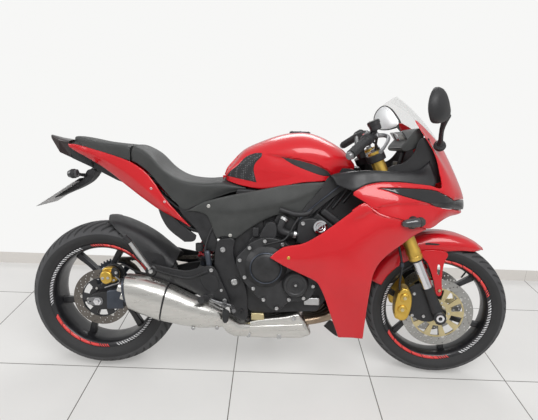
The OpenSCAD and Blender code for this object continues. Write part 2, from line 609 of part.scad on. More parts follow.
LOW = 0;
MID = 1;
HIGH = 2;
function station(r, k = 8) = [for (i = [0:k]) bez(r[LOW], 2 * r[MID] - (r[LOW] + r[HIGH]) / 2, r[HIGH], i / k)];
function flipped(r) = [for (p = r) [p[0], -p[1], p[2]]];
function whole(rows) = concat([for (r = rows) r], [for (i = [len(rows) - 2:-1:0]) flipped(rows[i])]);
LENS = [[384, 834], [515, 836], [612, 830], [714, 785], [840, 778], [840, 747], [738, 748], [667, 755], [567, 786], [475, 808]];
module nose_cowl() color("#c4161c") on_body() difference() {
  skin([for (r = whole(NOSE)) station(r)], panel_t);
  across(-300, 300) polygon(LENS);
}
// Stations of the headlamp's lens, just inside its opening in the nose.
LAMP = [
  [[437.6, 238, 822], [435.8, 236, 826], [433.6, 233.8, 830.6]],
  [[483.6, 236, 809], [480.5, 232.2, 820.2], [477.4, 227.4, 831.8]],
  [[529.6, 227.4, 797.4], [524.8, 222.9, 814.7], [519.9, 217.3, 832.2]],
  [[566.2, 217.3, 789], [567.7, 211.7, 809.3], [569.3, 205.4, 829.3]],
  [[619.1, 198.5, 773], [614.7, 197.3, 799.1], [610, 193.5, 825.7]],
  [[667.1, 174.1, 760], [665.5, 176, 781.2], [664.1, 175.7, 802.6]],
  [[704.2, 146.6, 754], [707.5, 146.1, 768.2], [711.1, 143.7, 782.4]],
  [[732.1, 123.8, 751], [736.6, 123.3, 764.8], [741.1, 117.4, 779]],
  [[781, 60, 750], [782.6, 60, 763], [782.3, 60, 776]],
  [[784, 30, 750], [787.1, 30, 763], [788.6, 30, 776]],
  [[785, 0, 750], [788, 0, 763], [790, 0, 776]]];
module headlamp() color("#3a3d42") on_body() skin([for (r = whole(LAMP)) station(r, 4)], 3, 0.6);

// Windscreen stations from its side edge to the middle.
SCREEN = [
  [[538, 111, 1098.5], [499, 98, 1133], [452, 74, 1163]],
  [[580, 86, 1073], [524, 74, 1129], [467, 54, 1177]],
  [[625.5, 60, 1044.6], [556, 47, 1124], [480, 33, 1188]],
  [[665, 32, 1015.5], [578, 24, 1119], [487, 16, 1193]],
  [[701, 0, 987], [596, 0, 1112], [489, 0, 1195]]];
module windscreen() color("#aeb8bd") on_body() translate([-2, 0, 2.5]) skin([for (r = whole(SCREEN)) station(r, 6)], screen_t);

// The shelf beside the tank and the fork, from the rear.
// Columns of a row: outer point, a point half way, inner point.
SHELF = [[[296, 228, 812], [276, 192, 848], [246, 152, 868]], [[338, 226, 836], [326, 196, 858], [306, 158, 873]],
  [[392, 217, 847], [388, 190, 866], [384, 161, 879]], [[479, 207, 850], [475, 186, 868], [472, 160, 882]],
  [[540, 198, 845], [540, 172, 874], [542, 144, 898]], [[600, 180, 843], [596, 160, 876], [590, 128, 930]]];
module inner_cowl() color("#17181a") on_body() {
  both() side_sheet([[500, 800, 890, 170, 160, 146], [560, 760, 1000, 176, 160, 120], [628, 740, 880, 168, 160, 150]], 3);
  both() skin(SHELF, 3);
}
module instruments() color("#4a4c50") on_body() {
  translate([545, 0, 1020]) rotate([0, -28, 0]) {
    translate([-14, -105, -38]) cube([36, 210, 80]);
    translate([-24, -60, -20]) cube([12, 120, 50]);
  }
  across(-20, 20) polygon([[516.5, 895], [530, 895], [560, 985], [540, 985]]);
}

// Mirrors
mirror_y = 335;
// Columns of a row: x, share of the full half width and half height.
MIRROR = [[512, 0.96], [520, 1], [538, 0.97], [556, 0.85], [570, 0.62], [578, 0.3]];
mirror_half_w = 74;
mirror_half_h = 57;
module mirror_shell() {
  translate([0, mirror_y, 1134]) loft([for (r = MIRROR) [for (k = [0:19]) let (a = 18 * k, s = sin(a), c = cos(a))
    [r[0] + 6 * (1 - r[1]), mirror_half_w * r[1] * sign(c) * pow(abs(c), 0.75), mirror_half_h * r[1] * sign(s) * pow(abs(s), 0.75)]]]);
  bars([[632, 143, 1003], [606, 262, 1050], [556, mirror_y - 12, 1098]], 9, 60);
}
module mirror_right() color("#1c1c1f") on_body() mirror([0, 1, 0]) mirror_shell();
module mirror_left() color("#1c1c1f") on_body() mirror_shell();

// Foot controls and hangers
HANGER = [[-499, 446], [-491, 476], [-470, 480], [-352, 463], [-270, 490], [-248, 492], [-166, 345], [-166, 330], [-199, 330], [-331, 400], [-461, 440]];
module foot_controls() color("#1c1d20") on_body() {
  both() {
    across(160, 168) difference() {
      polygon(HANGER);
      polygon([[-285, 440], [-225, 446], [-205, 392], [-240, 372]]);
    }
    bar([-242, 164, 362], [-263, 292, 392], 12);
    bar([-488, 164, 470], [-556, 226, 600], 11);
    across(149.3, 160.5) translate([-228, 478]) circle(r = 12);
    across(149.3, 160.5) translate([-190, 350]) circle(r = 12);
  }
  bars([[-236, -160, 350], [-180, -185, 325], [-150, -236, 332]], 7);
  bars([[-236, 160, 350], [-120, 190, 340], [-110, 240, 345]], 7);
}

// Steering
module fork() color("#c79a3a") parked() at_stem() {
  both() translate([fork_off, fork_y, 0]) {
    translate([0, 0, lower_clamp_s - outer_tube_drop]) difference() {
      cylinder(r = fork_outer_r, h = upper_clamp_s + clamp_h + 8 - lower_clamp_s + outer_tube_drop);
      translate([0, 0, -1]) cylinder(r = slider_r + 0.05, h = 200);
    }
  }
  clamp_plate(lower_clamp_s);
  clamp_plate(upper_clamp_s);
  translate([0, 0, lower_clamp_s]) cylinder(r = stem_r, h = upper_clamp_s - lower_clamp_s + clamp_h + 14);
}
module clamp_plate(s) {
  translate([0, 0, s]) linear_extrude(clamp_h) difference() {
    union() {
      both() translate([fork_off, fork_y]) circle(r = fork_outer_r + 9);
      polygon([[-30, -26], [-30, 26], [fork_off - 20, fork_y + 30], [fork_off + 34, fork_y], [50, 0], [fork_off + 34, -fork_y], [fork_off - 20, -fork_y - 30]]);
      circle(r = 34);
    }
    both() translate([fork_off, fork_y]) circle(r = fork_outer_r - 4);
  }
}
// Radius of the axle castings where the mudguard is bolted to them.
casting_r = 22;
module fork_sliders() color("#c9ccd0") parked() at_stem() {
  both() translate([fork_off, fork_y, 0]) {
    translate([0, 0, axle_s + 20]) cylinder(r = slider_r, h = lower_clamp_s - outer_tube_drop + 190 - axle_s - 20);
    translate([0, 0, axle_s - 34]) difference() {
      union() {
        cylinder(r = 25, h = 100);
        cylinder(r = casting_r, h = 164);
      }
      translate([0, 0, 34]) rotate([90, 0, 0]) cylinder(r = front_axle_r + 0.05, h = 80, center = true);
    }
  }
  translate([fork_off, 0, axle_s]) rotate([90, 0, 0]) difference() {
    cylinder(r = front_axle_r, h = 2 * fork_y + 60, center = true);
    cylinder(r = front_axle_bore, h = 2 * fork_y + 62, center = true);
  }
}
module handlebar() color("#1b1b1d") parked() at_stem() {
  z = upper_clamp_s + clamp_h + 0.3;
  both() {
    translate([-6, 48, z]) cylinder(r = 13, h = 34);
    bars([[-6, 0, z + 36], [-6, 58, z + 36], [14, 175, z + 70], [24, 228, z + 73.4], [-57, bar_half_w - 6, z + 53.2]], 11);
    bar([19, 235, z + 72.2], [-59, bar_half_w, z + 52.7], 16.5);
    bar([66, 222, z + 78], [-4, bar_half_w - 10, z + 56], 5);
    bar([22, 212, z + 73], [66, 223, z + 78], 8);
  }
  translate([70, -222, z + 92]) cylinder(r = 22, h = 34);
  bar([24, -214, z + 73], [70, -222, z + 98], 8);
}
// Outer face of the mudguard's stays, against the fork's castings.
stay_y = fork_y - casting_r - fit;
module front_mudguard() color("#c4161c") parked() at_front_axle() {
  intersection() {
    arch(front_tyre_r + 29, 72, 3, 52, 38, 158);
    across(-100, 100) polygon([[190, 272], [140, 250], [90, 262], [30, 262], [-10, 245], [-70, 225], [-115, 165], [-150, 176],
      [-270, 180], [-240, 260], [-50, 400], [220, 400]]);
  }
  both() {
    across(stay_y - 3, stay_y) polygon([[-48, 232], [-4, 250], [8, 160], [-8, 92], [-52, 108], [-34, 160]]);
    across(67, stay_y) polygon([[-48, 232], [-4, 250], [-2, 238], [-46, 220]]);
  }
}
module front_calipers() color("#b58f3e") parked() at_front_axle() both() difference() {
  across(56, 122) polygon([[-90, 70], [-112, 118], [-150, 92], [-178, 10], [-170, -22], [-128, -30], [-98, -10], [-88, 20]]);
  translate([0, front_disc_y, 0]) rotate([90, 0, 0]) cylinder(r = front_disc_r + 3, h = front_disc_t + 2, center = true);
}

// Side stand
stand_pivot = [-20, 152, 222];
stand_tilt = 22;
stand_pin_r = 6;
// Frame of the stand's hinge, its pin along Z pointing out to the left.
module at_stand() {
  translate(stand_pivot) rotate([-90 + stand_tilt, 0, 0]) children();
}
stand_foot = [10, stand_reach, stand_reach * tan(lean)];
module side_stand() color("#1b1b1d") on_body() {
  difference() {
    union() {
      bars([stand_pivot + [0, 16, -7], stand_pivot + [6, 31, -31], stand_foot + [0, 0, 8]], stand_r, 20);
      at_stand() cylinder(r = 19, h = 14);
    }
    at_stand() translate([0, 0, -1]) cylinder(r = stand_pin_r + 0.05, h = 20);
  }
  translate(stand_foot) rotate([lean, 0, 0]) translate([0, 6, -shift_z / cos(lean)]) cylinder(r = 26, h = 7);
}

frame();
pivot_plates();
subframe();
engine_block();
engine_covers();
radiator();
exhaust_headers();
exhaust_shield();
silencer();
fuel_tank();
fuel_cap();
rider_seat();
pillion_seat();
tail_panels();
tail_tray();
tail_lamp();
number_plate_bracket();
side_covers();
fairing_right();
fairing_left();
nose_cowl();
headlamp();
windscreen();
inner_cowl();
instruments();
mirror_right();
mirror_left();
foot_controls();
swingarm();
rear_hugger();
shock_absorber();
drive_chain();
rear_caliper();
fork();
fork_sliders();
handlebar();
front_mudguard();
front_calipers();
front_wheel_rim();
front_tyre();
front_discs();
rear_wheel_rim();
rear_tyre();
rear_disc();
side_stand();
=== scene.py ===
# Looks for the parked sport motorcycle. Metres, same frame as the CAD.
import math
import bpy
import bmesh
import numpy as np
from mathutils import Matrix, Vector
from mathutils.geometry import delaunay_2d_cdt


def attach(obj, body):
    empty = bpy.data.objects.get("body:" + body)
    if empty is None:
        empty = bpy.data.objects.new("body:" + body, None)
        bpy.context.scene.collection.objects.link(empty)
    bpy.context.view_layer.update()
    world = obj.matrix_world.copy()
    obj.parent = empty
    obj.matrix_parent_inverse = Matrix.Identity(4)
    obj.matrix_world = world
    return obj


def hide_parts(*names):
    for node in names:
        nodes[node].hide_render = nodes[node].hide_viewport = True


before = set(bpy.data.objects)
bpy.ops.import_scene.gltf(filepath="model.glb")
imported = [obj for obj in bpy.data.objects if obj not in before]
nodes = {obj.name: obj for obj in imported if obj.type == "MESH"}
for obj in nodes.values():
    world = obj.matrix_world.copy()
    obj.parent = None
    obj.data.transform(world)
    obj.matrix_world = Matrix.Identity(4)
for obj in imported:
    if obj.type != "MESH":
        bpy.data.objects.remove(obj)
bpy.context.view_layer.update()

# The stance, in radians and metres: lean, steering angle as parked, steering axis and its trail.
LEAN = math.radians(11)
STEER = math.radians(-7.6)
RAKE = math.radians(25.5)
TRAIL = 0.0985
FRONT_R = 0.300
REAR_R = 0.315
HALF_BASE = 0.7185
STEM_X = 0.817
# Where the leaned machine stands on the floor.
SHIFT = Vector((0.007, -0.2, 0.0029))
PARKED = Matrix.Translation(SHIFT) @ Matrix.Rotation(-LEAN, 4, "X")
RAKED = Matrix.Translation((STEM_X, 0, 0)) @ Matrix.Rotation(-RAKE, 4, "Y")
IN_STEM = PARKED @ (RAKED @ Matrix.Rotation(STEER, 4, "Z"))
FORK_OFF = FRONT_R * math.sin(RAKE) - TRAIL * math.cos(RAKE)
AXLE_S = (FRONT_R - FORK_OFF * math.sin(RAKE)) / math.cos(RAKE)
IN_FRONT = IN_STEM @ Matrix.Translation((FORK_OFF, 0, AXLE_S)) @ Matrix.Rotation(RAKE, 4, "Y")
IN_REAR = PARKED @ Matrix.Translation((-HALF_BASE, 0, REAR_R))


# Camera
def look(yaw, pitch, roll):
    """The camera's turn, from its angles in degrees."""
    y, p, r = (math.radians(v) for v in (yaw, pitch, roll))
    fwd = Vector((math.sin(y) * math.cos(p), math.cos(y) * math.cos(p), -math.sin(p)))
    right = fwd.cross(Vector((0, 0, 1))).normalized()
    up = right.cross(fwd)
    cx = right * math.cos(r) + up * math.sin(r)
    cy = up * math.cos(r) - right * math.sin(r)
    return Matrix((cx, cy, -fwd)).transposed().to_4x4()


SENSOR = 36
FOCAL_PX = 441
PHOTO_PX = 538
# Where the photograph was taken from, before the shift on the floor: place, then yaw, pitch and roll.
CAMERA_AT = (-0.024, -1.663, 1.321)
CAMERA_TURN = (0.02, 19.31, 2.06)
cam_data = bpy.data.cameras.new("camera")
cam_data.sensor_width = SENSOR
cam_data.lens = SENSOR * FOCAL_PX / PHOTO_PX
cam_data.clip_end = 60
cam = bpy.data.objects.new("camera", cam_data)
bpy.context.scene.collection.objects.link(cam)
cam_place = (CAMERA_AT[0] + SHIFT.x, CAMERA_AT[1] + SHIFT.y, CAMERA_AT[2])
cam.matrix_world = Matrix.Translation(cam_place) @ look(*CAMERA_TURN)
bpy.context.scene.camera = cam
bpy.context.scene.view_settings.view_transform = "Standard"


# Materials
def material(name):
    """A new material, its node tree and its principled shader."""
    m = bpy.data.materials.new(name)
    m.use_nodes = True
    nt = m.node_tree
    bsdf = nt.nodes["Principled BSDF"]
    return m, nt, bsdf


def node(nt, kind, **props):
    """A node of a kind, with its properties set."""
    n = nt.nodes.new(kind)
    for k, v in props.items():
        setattr(n, k, v)
    return n


def noise(nt, scale, detail, rough, stretch=(1, 1, 1)):
    """Noise over the object's own coordinates."""
    co = node(nt, "ShaderNodeTexCoord")
    mp = node(nt, "ShaderNodeMapping")
    mp.inputs["Scale"].default_value = stretch
    nz = node(nt, "ShaderNodeTexNoise")
    nz.inputs["Scale"].default_value = scale
    nz.inputs["Detail"].default_value = detail
    nz.inputs["Roughness"].default_value = rough
    nt.links.new(co.outputs["Object"], mp.inputs["Vector"])
    nt.links.new(mp.outputs["Vector"], nz.inputs["Vector"])
    return nz.outputs["Fac"]


def ramp(nt, fac, stops):
    """Colours along a value, from stops of place and colour."""
    r = node(nt, "ShaderNodeValToRGB")
    el = r.color_ramp.elements
    while len(el) < len(stops):
        el.new(0.5)
    for e, (pos, col) in zip(el, stops):
        e.position = pos
        e.color = (*col, 1)
    nt.links.new(fac, r.inputs["Fac"])
    return r.outputs["Color"]


def bump(nt, bsdf, height, strength, distance):
    """Relief from a height, on the shader's normal."""
    b = node(nt, "ShaderNodeBump")
    b.inputs["Strength"].default_value = strength
    b.inputs["Distance"].default_value = distance
    nt.links.new(height, b.inputs["Height"])
    nt.links.new(b.outputs["Normal"], bsdf.inputs["Normal"])


def finish_of(name, low, high, rough, metal, scale, grain=0.0, grain_scale=900, coat=0.0, stretch=(1, 1, 1),
              spec=0.5):
    """A surface whose colour and roughness drift a little, with a fine grain."""
    m, nt, b = material(name)
    f = noise(nt, scale, 4, 0.55, stretch)
    nt.links.new(ramp(nt, f, [(0.3, low), (0.7, high)]), b.inputs["Base Color"])
    nt.links.new(ramp(nt, f, [(0.3, (rough[0],) * 3), (0.7, (rough[1],) * 3)]), b.inputs["Roughness"])
    b.inputs["Metallic"].default_value = metal
    b.inputs["Specular IOR Level"].default_value = spec
    b.inputs["Coat Weight"].default_value = coat
    b.inputs["Coat Roughness"].default_value = 0.04
    if grain:
        bump(nt, b, noise(nt, grain_scale, 2, 0.6), grain, 0.0006)
    return m


# Columns: name, dark and light colour, roughness, metal, scale of the drift, grain, its scale, coat.
RED = finish_of("red_paint", (0.60, 0.004, 0.010), (0.66, 0.006, 0.014), (0.30, 0.36), 0.0, 6, 0.02, 260,
                0.7, spec=0.3)
BLACK = finish_of("black_frame", (0.012, 0.012, 0.013), (0.022, 0.022, 0.024), (0.34, 0.5), 0.0, 30, 0.12,
    700)
ENGINE = finish_of("engine_black", (0.026, 0.026, 0.027), (0.046, 0.046, 0.048), (0.36, 0.5), 0.35, 24,
    0.25, 500)
DARK = finish_of("dark_metal", (0.05, 0.058, 0.075), (0.075, 0.085, 0.105), (0.3, 0.42), 0.6, 20, 0.1, 600)
HEATED = finish_of("heated_steel", (0.20, 0.13, 0.08), (0.40, 0.32, 0.24), (0.28, 0.4), 0.9, 9, 0.05, 300)
STEEL = finish_of("stainless", (0.60, 0.59, 0.56), (0.68, 0.67, 0.64), (0.26, 0.32), 1.0, 9, 0.03, 500, 0.0,
    (1, 12, 12))
ALLOY = finish_of("bright_metal", (0.50, 0.50, 0.50), (0.60, 0.60, 0.60), (0.3, 0.4), 1.0, 26, 0.1, 800)
SATIN = finish_of("satin_metal", (0.20, 0.20, 0.205), (0.27, 0.27, 0.275), (0.36, 0.46), 0.8, 26, 0.1, 800)
GLASS = finish_of("mirror_glass", (0.78, 0.79, 0.80), (0.84, 0.85, 0.86), (0.36, 0.4), 1.0, 9)
SEAT = finish_of("seat_cover", (0.032, 0.034, 0.033), (0.046, 0.048, 0.047), (0.5, 0.6), 0.0, 18, 0.5, 1100)
PLASTIC = finish_of("black_plastic", (0.014, 0.014, 0.015), (0.024, 0.024, 0.026), (0.48, 0.62), 0.0, 30,
    0.35, 1300)
GREY = finish_of("grey_plastic", (0.034, 0.036, 0.035), (0.050, 0.052, 0.050), (0.46, 0.56), 0.0, 22, 0.35,
    1200)
LAMP = finish_of("lamp_red", (0.012, 0.006, 0.006), (0.022, 0.008, 0.008), (0.16, 0.22), 0.0, 60, 0.0, 300,
    0.3)
LENS = finish_of("dark_lens", (0.010, 0.010, 0.011), (0.016, 0.016, 0.018), (0.08, 0.12), 0.0, 12, 0.0, 300,
    0.6, spec=0.4)
SPRING = finish_of("red_spring", (0.42, 0.01, 0.02), (0.5, 0.014, 0.024), (0.25, 0.35), 0.0, 20, 0.05, 300,
    0.6)
CHAIN = finish_of("chain_steel", (0.07, 0.06, 0.05), (0.2, 0.18, 0.15), (0.35, 0.55), 0.8, 120, 0.2, 600)
GOLD = finish_of("gold", (0.62, 0.40, 0.07), (0.72, 0.48, 0.11), (0.3, 0.38), 0.85, 16, 0.05, 900)
CHROME = finish_of("chrome", (0.72, 0.72, 0.74), (0.8, 0.8, 0.82), (0.06, 0.1), 1.0, 12)
WHEEL = finish_of("black_wheel", (0.012, 0.012, 0.014), (0.02, 0.02, 0.023), (0.3, 0.42), 0.1, 30, 0.08,
    600, 0.3)
TYRE = finish_of("tyre", (0.020, 0.020, 0.021), (0.030, 0.030, 0.031), (0.6, 0.75), 0.0, 26, 0.3, 900)
TREAD = finish_of("tread", (0.055, 0.055, 0.057), (0.085, 0.085, 0.088), (0.7, 0.85), 0.0, 26, 0.3, 900)
TAPE_RED = finish_of("tape_red", (0.78, 0.05, 0.05), (0.86, 0.07, 0.06), (0.3, 0.4), 0.0, 30, 0.05, 400,
    0.4)
TAPE_WHITE = finish_of("tape_white", (0.72, 0.72, 0.73), (0.82, 0.82, 0.83), (0.3, 0.4), 0.0, 30, 0.05, 400,
    0.4)
PALE_GOLD = finish_of("pale_gold", (0.56, 0.47, 0.26), (0.68, 0.58, 0.34), (0.3, 0.4), 0.9, 20, 0.05, 700)
DARK_DISC = finish_of("dark_disc", (0.16, 0.145, 0.13), (0.21, 0.19, 0.17), (0.3, 0.4), 1.0, 8, 0.04, 700)
DISC = finish_of("disc_steel", (0.36, 0.355, 0.34), (0.42, 0.415, 0.40), (0.28, 0.36), 1.0, 8, 0.04, 700)


def pad_material():
    """Black rubber with a field of small raised dots, each painted lighter at its top as a painted
    highlight.
    """
    m, nt, b = material("knee_pad")
    co = node(nt, "ShaderNodeTexCoord")
    vor = node(nt, "ShaderNodeTexVoronoi")
    vor.inputs["Scale"].default_value = 145
    vor.inputs["Randomness"].default_value = 0.25
    nt.links.new(co.outputs["Object"], vor.inputs["Vector"])
    dots = ramp(nt, vor.outputs["Distance"], [(0.22, (1, 1, 1)), (0.34, (0, 0, 0))])
    # Painted highlight: each raised dot is painted light grey at its top, fading to the black of the rubber
    # between the dots.
    tone = ramp(nt, vor.outputs["Distance"], [(0.2, (0.16, 0.16, 0.165)), (0.36, (0.02, 0.02, 0.022))])
    nt.links.new(tone, b.inputs["Base Color"])
    b.inputs["Roughness"].default_value = 0.55
    bump(nt, b, dots, 0.8, 0.001)
    return m


PAD = pad_material()
SMOKE = finish_of("smoked_lens", (0.03, 0.03, 0.032), (0.06, 0.06, 0.064), (0.08, 0.14), 0.0, 40, 0.0, 300,
    0.6)
PLATE = finish_of("blank_plate", (0.62, 0.62, 0.62), (0.7, 0.7, 0.7), (0.4, 0.5), 0.0, 20, 0.1, 300)


def clear_material():
    """Thin clear plastic, seen through, with a faint grey drift."""
    m, nt, b = material("clear")
    drift = noise(nt, 7, 3, 0.5)
    tone = ramp(nt, drift, [(0.3, (0.50, 0.52, 0.50)), (0.7, (0.58, 0.60, 0.58))])
    cover = ramp(nt, drift, [(0.3, (0.10,) * 3), (0.7, (0.13,) * 3)])
    nt.links.new(tone, b.inputs["Base Color"])
    nt.links.new(cover, b.inputs["Alpha"])
    b.inputs["Roughness"].default_value = 0.06
    return m


CLEAR = clear_material()

# The look of each solid, also where a piece below stands in for it
CAD_LOOK = {"frame": BLACK, "pivot_plates": BLACK, "subframe": BLACK, "engine_block": ENGINE,
            "engine_covers": ENGINE, "radiator": DARK, "exhaust_headers": HEATED, "exhaust_shield": STEEL,
            "silencer": STEEL, "fuel_tank": RED, "fuel_cap": ALLOY, "rider_seat": SEAT,
            "pillion_seat": SEAT, "tail_panels": RED, "tail_tray": PLASTIC, "tail_lamp": LAMP,
            "number_plate_bracket": PLASTIC, "side_covers": GREY, "fairing_right": RED, "fairing_left": RED,
            "nose_cowl": RED, "headlamp": LENS, "windscreen": CLEAR, "inner_cowl": PLASTIC,
            "instruments": GREY, "mirror_right": PLASTIC, "mirror_left": PLASTIC, "foot_controls": BLACK,
            "swingarm": DARK, "rear_hugger": PLASTIC, "shock_absorber": SPRING, "drive_chain": CHAIN,
            "rear_caliper": GOLD, "fork": GOLD, "fork_sliders": CHROME, "handlebar": BLACK,
            "front_mudguard": RED, "front_calipers": GOLD, "front_wheel_rim": WHEEL, "front_tyre": TYRE,
            "front_discs": DISC, "rear_wheel_rim": WHEEL, "rear_tyre": TYRE, "rear_disc": DISC,
            "side_stand": BLACK, }
for name, mat in CAD_LOOK.items():
    ob = nodes[name]
    ob.data.materials.clear()
    ob.data.materials.append(mat)


# Modelling helpers, in millimetres on the upright machine unless a matrix is given
MM = Matrix.Scale(0.001, 4)
UPRIGHT = PARKED @ MM
AT_STEM = IN_STEM @ MM
AT_FRONT = IN_FRONT @ MM
AT_REAR = IN_REAR @ MM
ON_STEM = {"place": AT_STEM, "body": "steering"}
BY_WHEEL = {"place": AT_FRONT, "body": "steering"}
ON_REAR = {"place": AT_REAR, "body": "rear_wheel"}
SIDES = ((-1, "right"), (1, "left"))
ORIGIN = (0, 0, 0)
ALONG_Y = (0, 1, 0)
UPWARD = (0, 0, 1)
RIGHTWARD = (0, -1, 0)
TINY = 1e-9


def add(name, verts, faces, mat, body="chassis", place=None, sharp=35, stands_for=(), mats=None,
        picks=None):
    """A mesh object from points in millimetres, placed and riding on its body."""
    place = UPRIGHT if place is None else place
    me = bpy.data.meshes.new(name)
    me.from_pydata([place @ Vector(v) for v in verts], [], [list(map(int, f)) for f in faces])
    for m in (mats or [mat]):
        me.materials.append(m)
    if picks is not None:
        me.polygons.foreach_set("material_index", picks)
    bm = bmesh.new()
    bm.from_mesh(me)
    bmesh.ops.recalc_face_normals(bm, faces=bm.faces)
    bm.to_mesh(me)
    bm.free()
    me.polygons.foreach_set("use_smooth", [True] * len(me.polygons))
    me.set_sharp_from_angle(angle=math.radians(sharp))
    ob = bpy.data.objects.new(name, me)
    bpy.context.scene.collection.objects.link(ob)
    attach(ob, body)
    if stands_for:
        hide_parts(*stands_for)
    return ob


def bevel(ob, width, segments, angle):
    """Rounds the edges that are sharper than an angle."""
    m = ob.modifiers.new("edges", "BEVEL")
    m.width = width / 1000
    m.segments = segments
    m.limit_method = "ANGLE"
    m.angle_limit = math.radians(angle)
    m.harden_normals = True


def thicken(ob, thick):
    """Gives a sheet its thickness inwards."""
    m = ob.modifiers.new("thickness", "SOLIDIFY")
    m.thickness = thick / 1000
    m.offset = -1


def unit(v):
    """Vectors in rows, each brought to length one."""
    return v / np.maximum(np.linalg.norm(v, axis=1), TINY)[:, None]


def circle(r, n, start=0.0):
    """Points (x, z) round a circle."""
    a = np.linspace(0, 2 * math.pi, n + 1)[:-1] + start
    return np.stack([r * np.cos(a), r * np.sin(a)], 1)


def quads(m, n, close_m=False, close_n=False):
    """Quads of a grid of m by n points, closed either way."""
    return [(i * n + j, i * n + (j + 1) % n, (i + 1) % m * n + (j + 1) % n, (i + 1) % m * n + j)
            for i in range(m if close_m else m - 1) for j in range(n if close_n else n - 1)]


def two_sided(fs, n):
    """Faces of a sheet of n points: front, back and a wall along every open edge."""
    rim = {(a, b) for f in fs for a, b in zip(f, f[1:] + f[:1])}
    walls = [(a, b, b + n, a + n) for a, b in rim if (b, a) not in rim]
    return list(fs) + [tuple(i + n for i in f[::-1]) for f in fs] + walls


def flow(points, step, closed=True, dims=2):
    """A smooth line through points. A point with a trailing 1 is a sharp corner."""
    pts = [np.array(p[:dims], float) for p in points]
    hard = [len(p) > dims and bool(p[dims]) for p in points]
    n = len(pts)
    out = []
    for i in range(n if closed else n - 1):
        a, b = pts[i], pts[(i + 1) % n]
        seg = np.linalg.norm(b - a)

        def lean_at(k):
            """The line's direction at a point, or none at a corner."""
            k %= n
            if hard[k] or (not closed and k in (0, n - 1)):
                return None
            d = pts[(k + 1) % n] - pts[k - 1]
            return d / max(np.linalg.norm(d), 1e-9)

        ta, tb = lean_at(i), lean_at(i + 1)
        chord = (b - a) / max(seg, 1e-9)
        ta = chord if ta is None else ta
        tb = chord if tb is None else tb
        m = max(1, int(math.ceil(seg / step)))
        for k in range(m):
            t = k / m
            h1, h2 = 2 * t ** 3 - 3 * t * t + 1, t ** 3 - 2 * t * t + t
            h3, h4 = -2 * t ** 3 + 3 * t * t, t ** 3 - t * t
            out.append(h1 * a + h2 * seg * ta + h3 * b + h4 * seg * tb)
    if not closed:
        out.append(pts[-1])
    return np.array(out)


def spread(ctrl):
    """A smooth height through scattered points (u, v, height)."""
    c = np.array(ctrl, float)
    p = c[:, :2] / 100
    r = np.linalg.norm(p[:, None] - p[None], axis=2)
    k = np.where(r > 0, r * r * np.log(np.maximum(r, 1e-12)), 0)
    n = len(c)
    a = np.zeros((n + 3, n + 3))
    a[:n, :n] = k + np.eye(n) * 1e-4
    a[:n, n] = 1
    a[:n, n + 1:] = p
    a[n, :n] = 1
    a[n + 1:, :n] = p.T
    w = np.linalg.solve(a, np.concatenate([c[:, 2], [0, 0, 0]]))

    def height(u, v):
        """The height at any points."""
        q = np.stack([np.ravel(u), np.ravel(v)], 1) / 100
        d = np.linalg.norm(q[:, None] - p[None], axis=2)
        kk = np.where(d > 0, d * d * np.log(np.maximum(d, 1e-12)), 0)
        return (kk @ w[:n] + w[n] + q @ w[n + 1:]).reshape(np.shape(u))
    return height


def inside(poly, pts):
    """Which points lie inside an outline."""
    x, y = pts[:, 0][:, None], pts[:, 1][:, None]
    x1, y1 = poly[:, 0][None], poly[:, 1][None]
    x2, y2 = np.roll(poly[:, 0], -1)[None], np.roll(poly[:, 1], -1)[None]
    cross = ((y1 > y) != (y2 > y)) & (x < (x2 - x1) * (y - y1) / np.where(y2 == y1, 1e-12, y2 - y1) + x1)
    return cross.sum(1) % 2 == 1


def within(loops, pts):
    """Which points lie inside the first outline and outside the others."""
    ok = inside(loops[0], pts)
    for hole in loops[1:]:
        ok &= ~inside(hole, pts)
    return ok


def filled(loops, pts):
    """Triangles between an outline and its holes, whose points come first in pts."""
    edges = []
    at = 0
    for poly in loops:
        n = len(poly)
        edges += [(at + i, at + (i + 1) % n) for i in range(n)]
        at += n
    vs, _edges, fs, *_rest = delaunay_2d_cdt([Vector(p) for p in pts], edges, [], 0, 1e-4)
    p2 = np.array([list(v) for v in vs])
    keep = within(loops, np.array([p2[list(f)].mean(0) for f in fs]))
    return p2, [tuple(f) for f, k in zip(fs, keep) if k]


def edge_gap(loops, pts):
    """Distance from each point to the nearest outline."""
    best = np.full(len(pts), 1e9)
    for poly in loops:
        a, b = poly, np.roll(poly, -1, axis=0)
        ab = b - a
        for s in range(0, len(pts), 2000):
            q = pts[s:s + 2000]
            t = ((q[:, None] - a) * ab).sum(2) / np.maximum((ab * ab).sum(1), 1e-12)
            t = np.clip(t, 0, 1)
            d = np.linalg.norm(q[:, None] - (a + t[..., None] * ab), axis=2).min(1)
            best[s:s + 2000] = np.minimum(best[s:s + 2000], d)
    return best


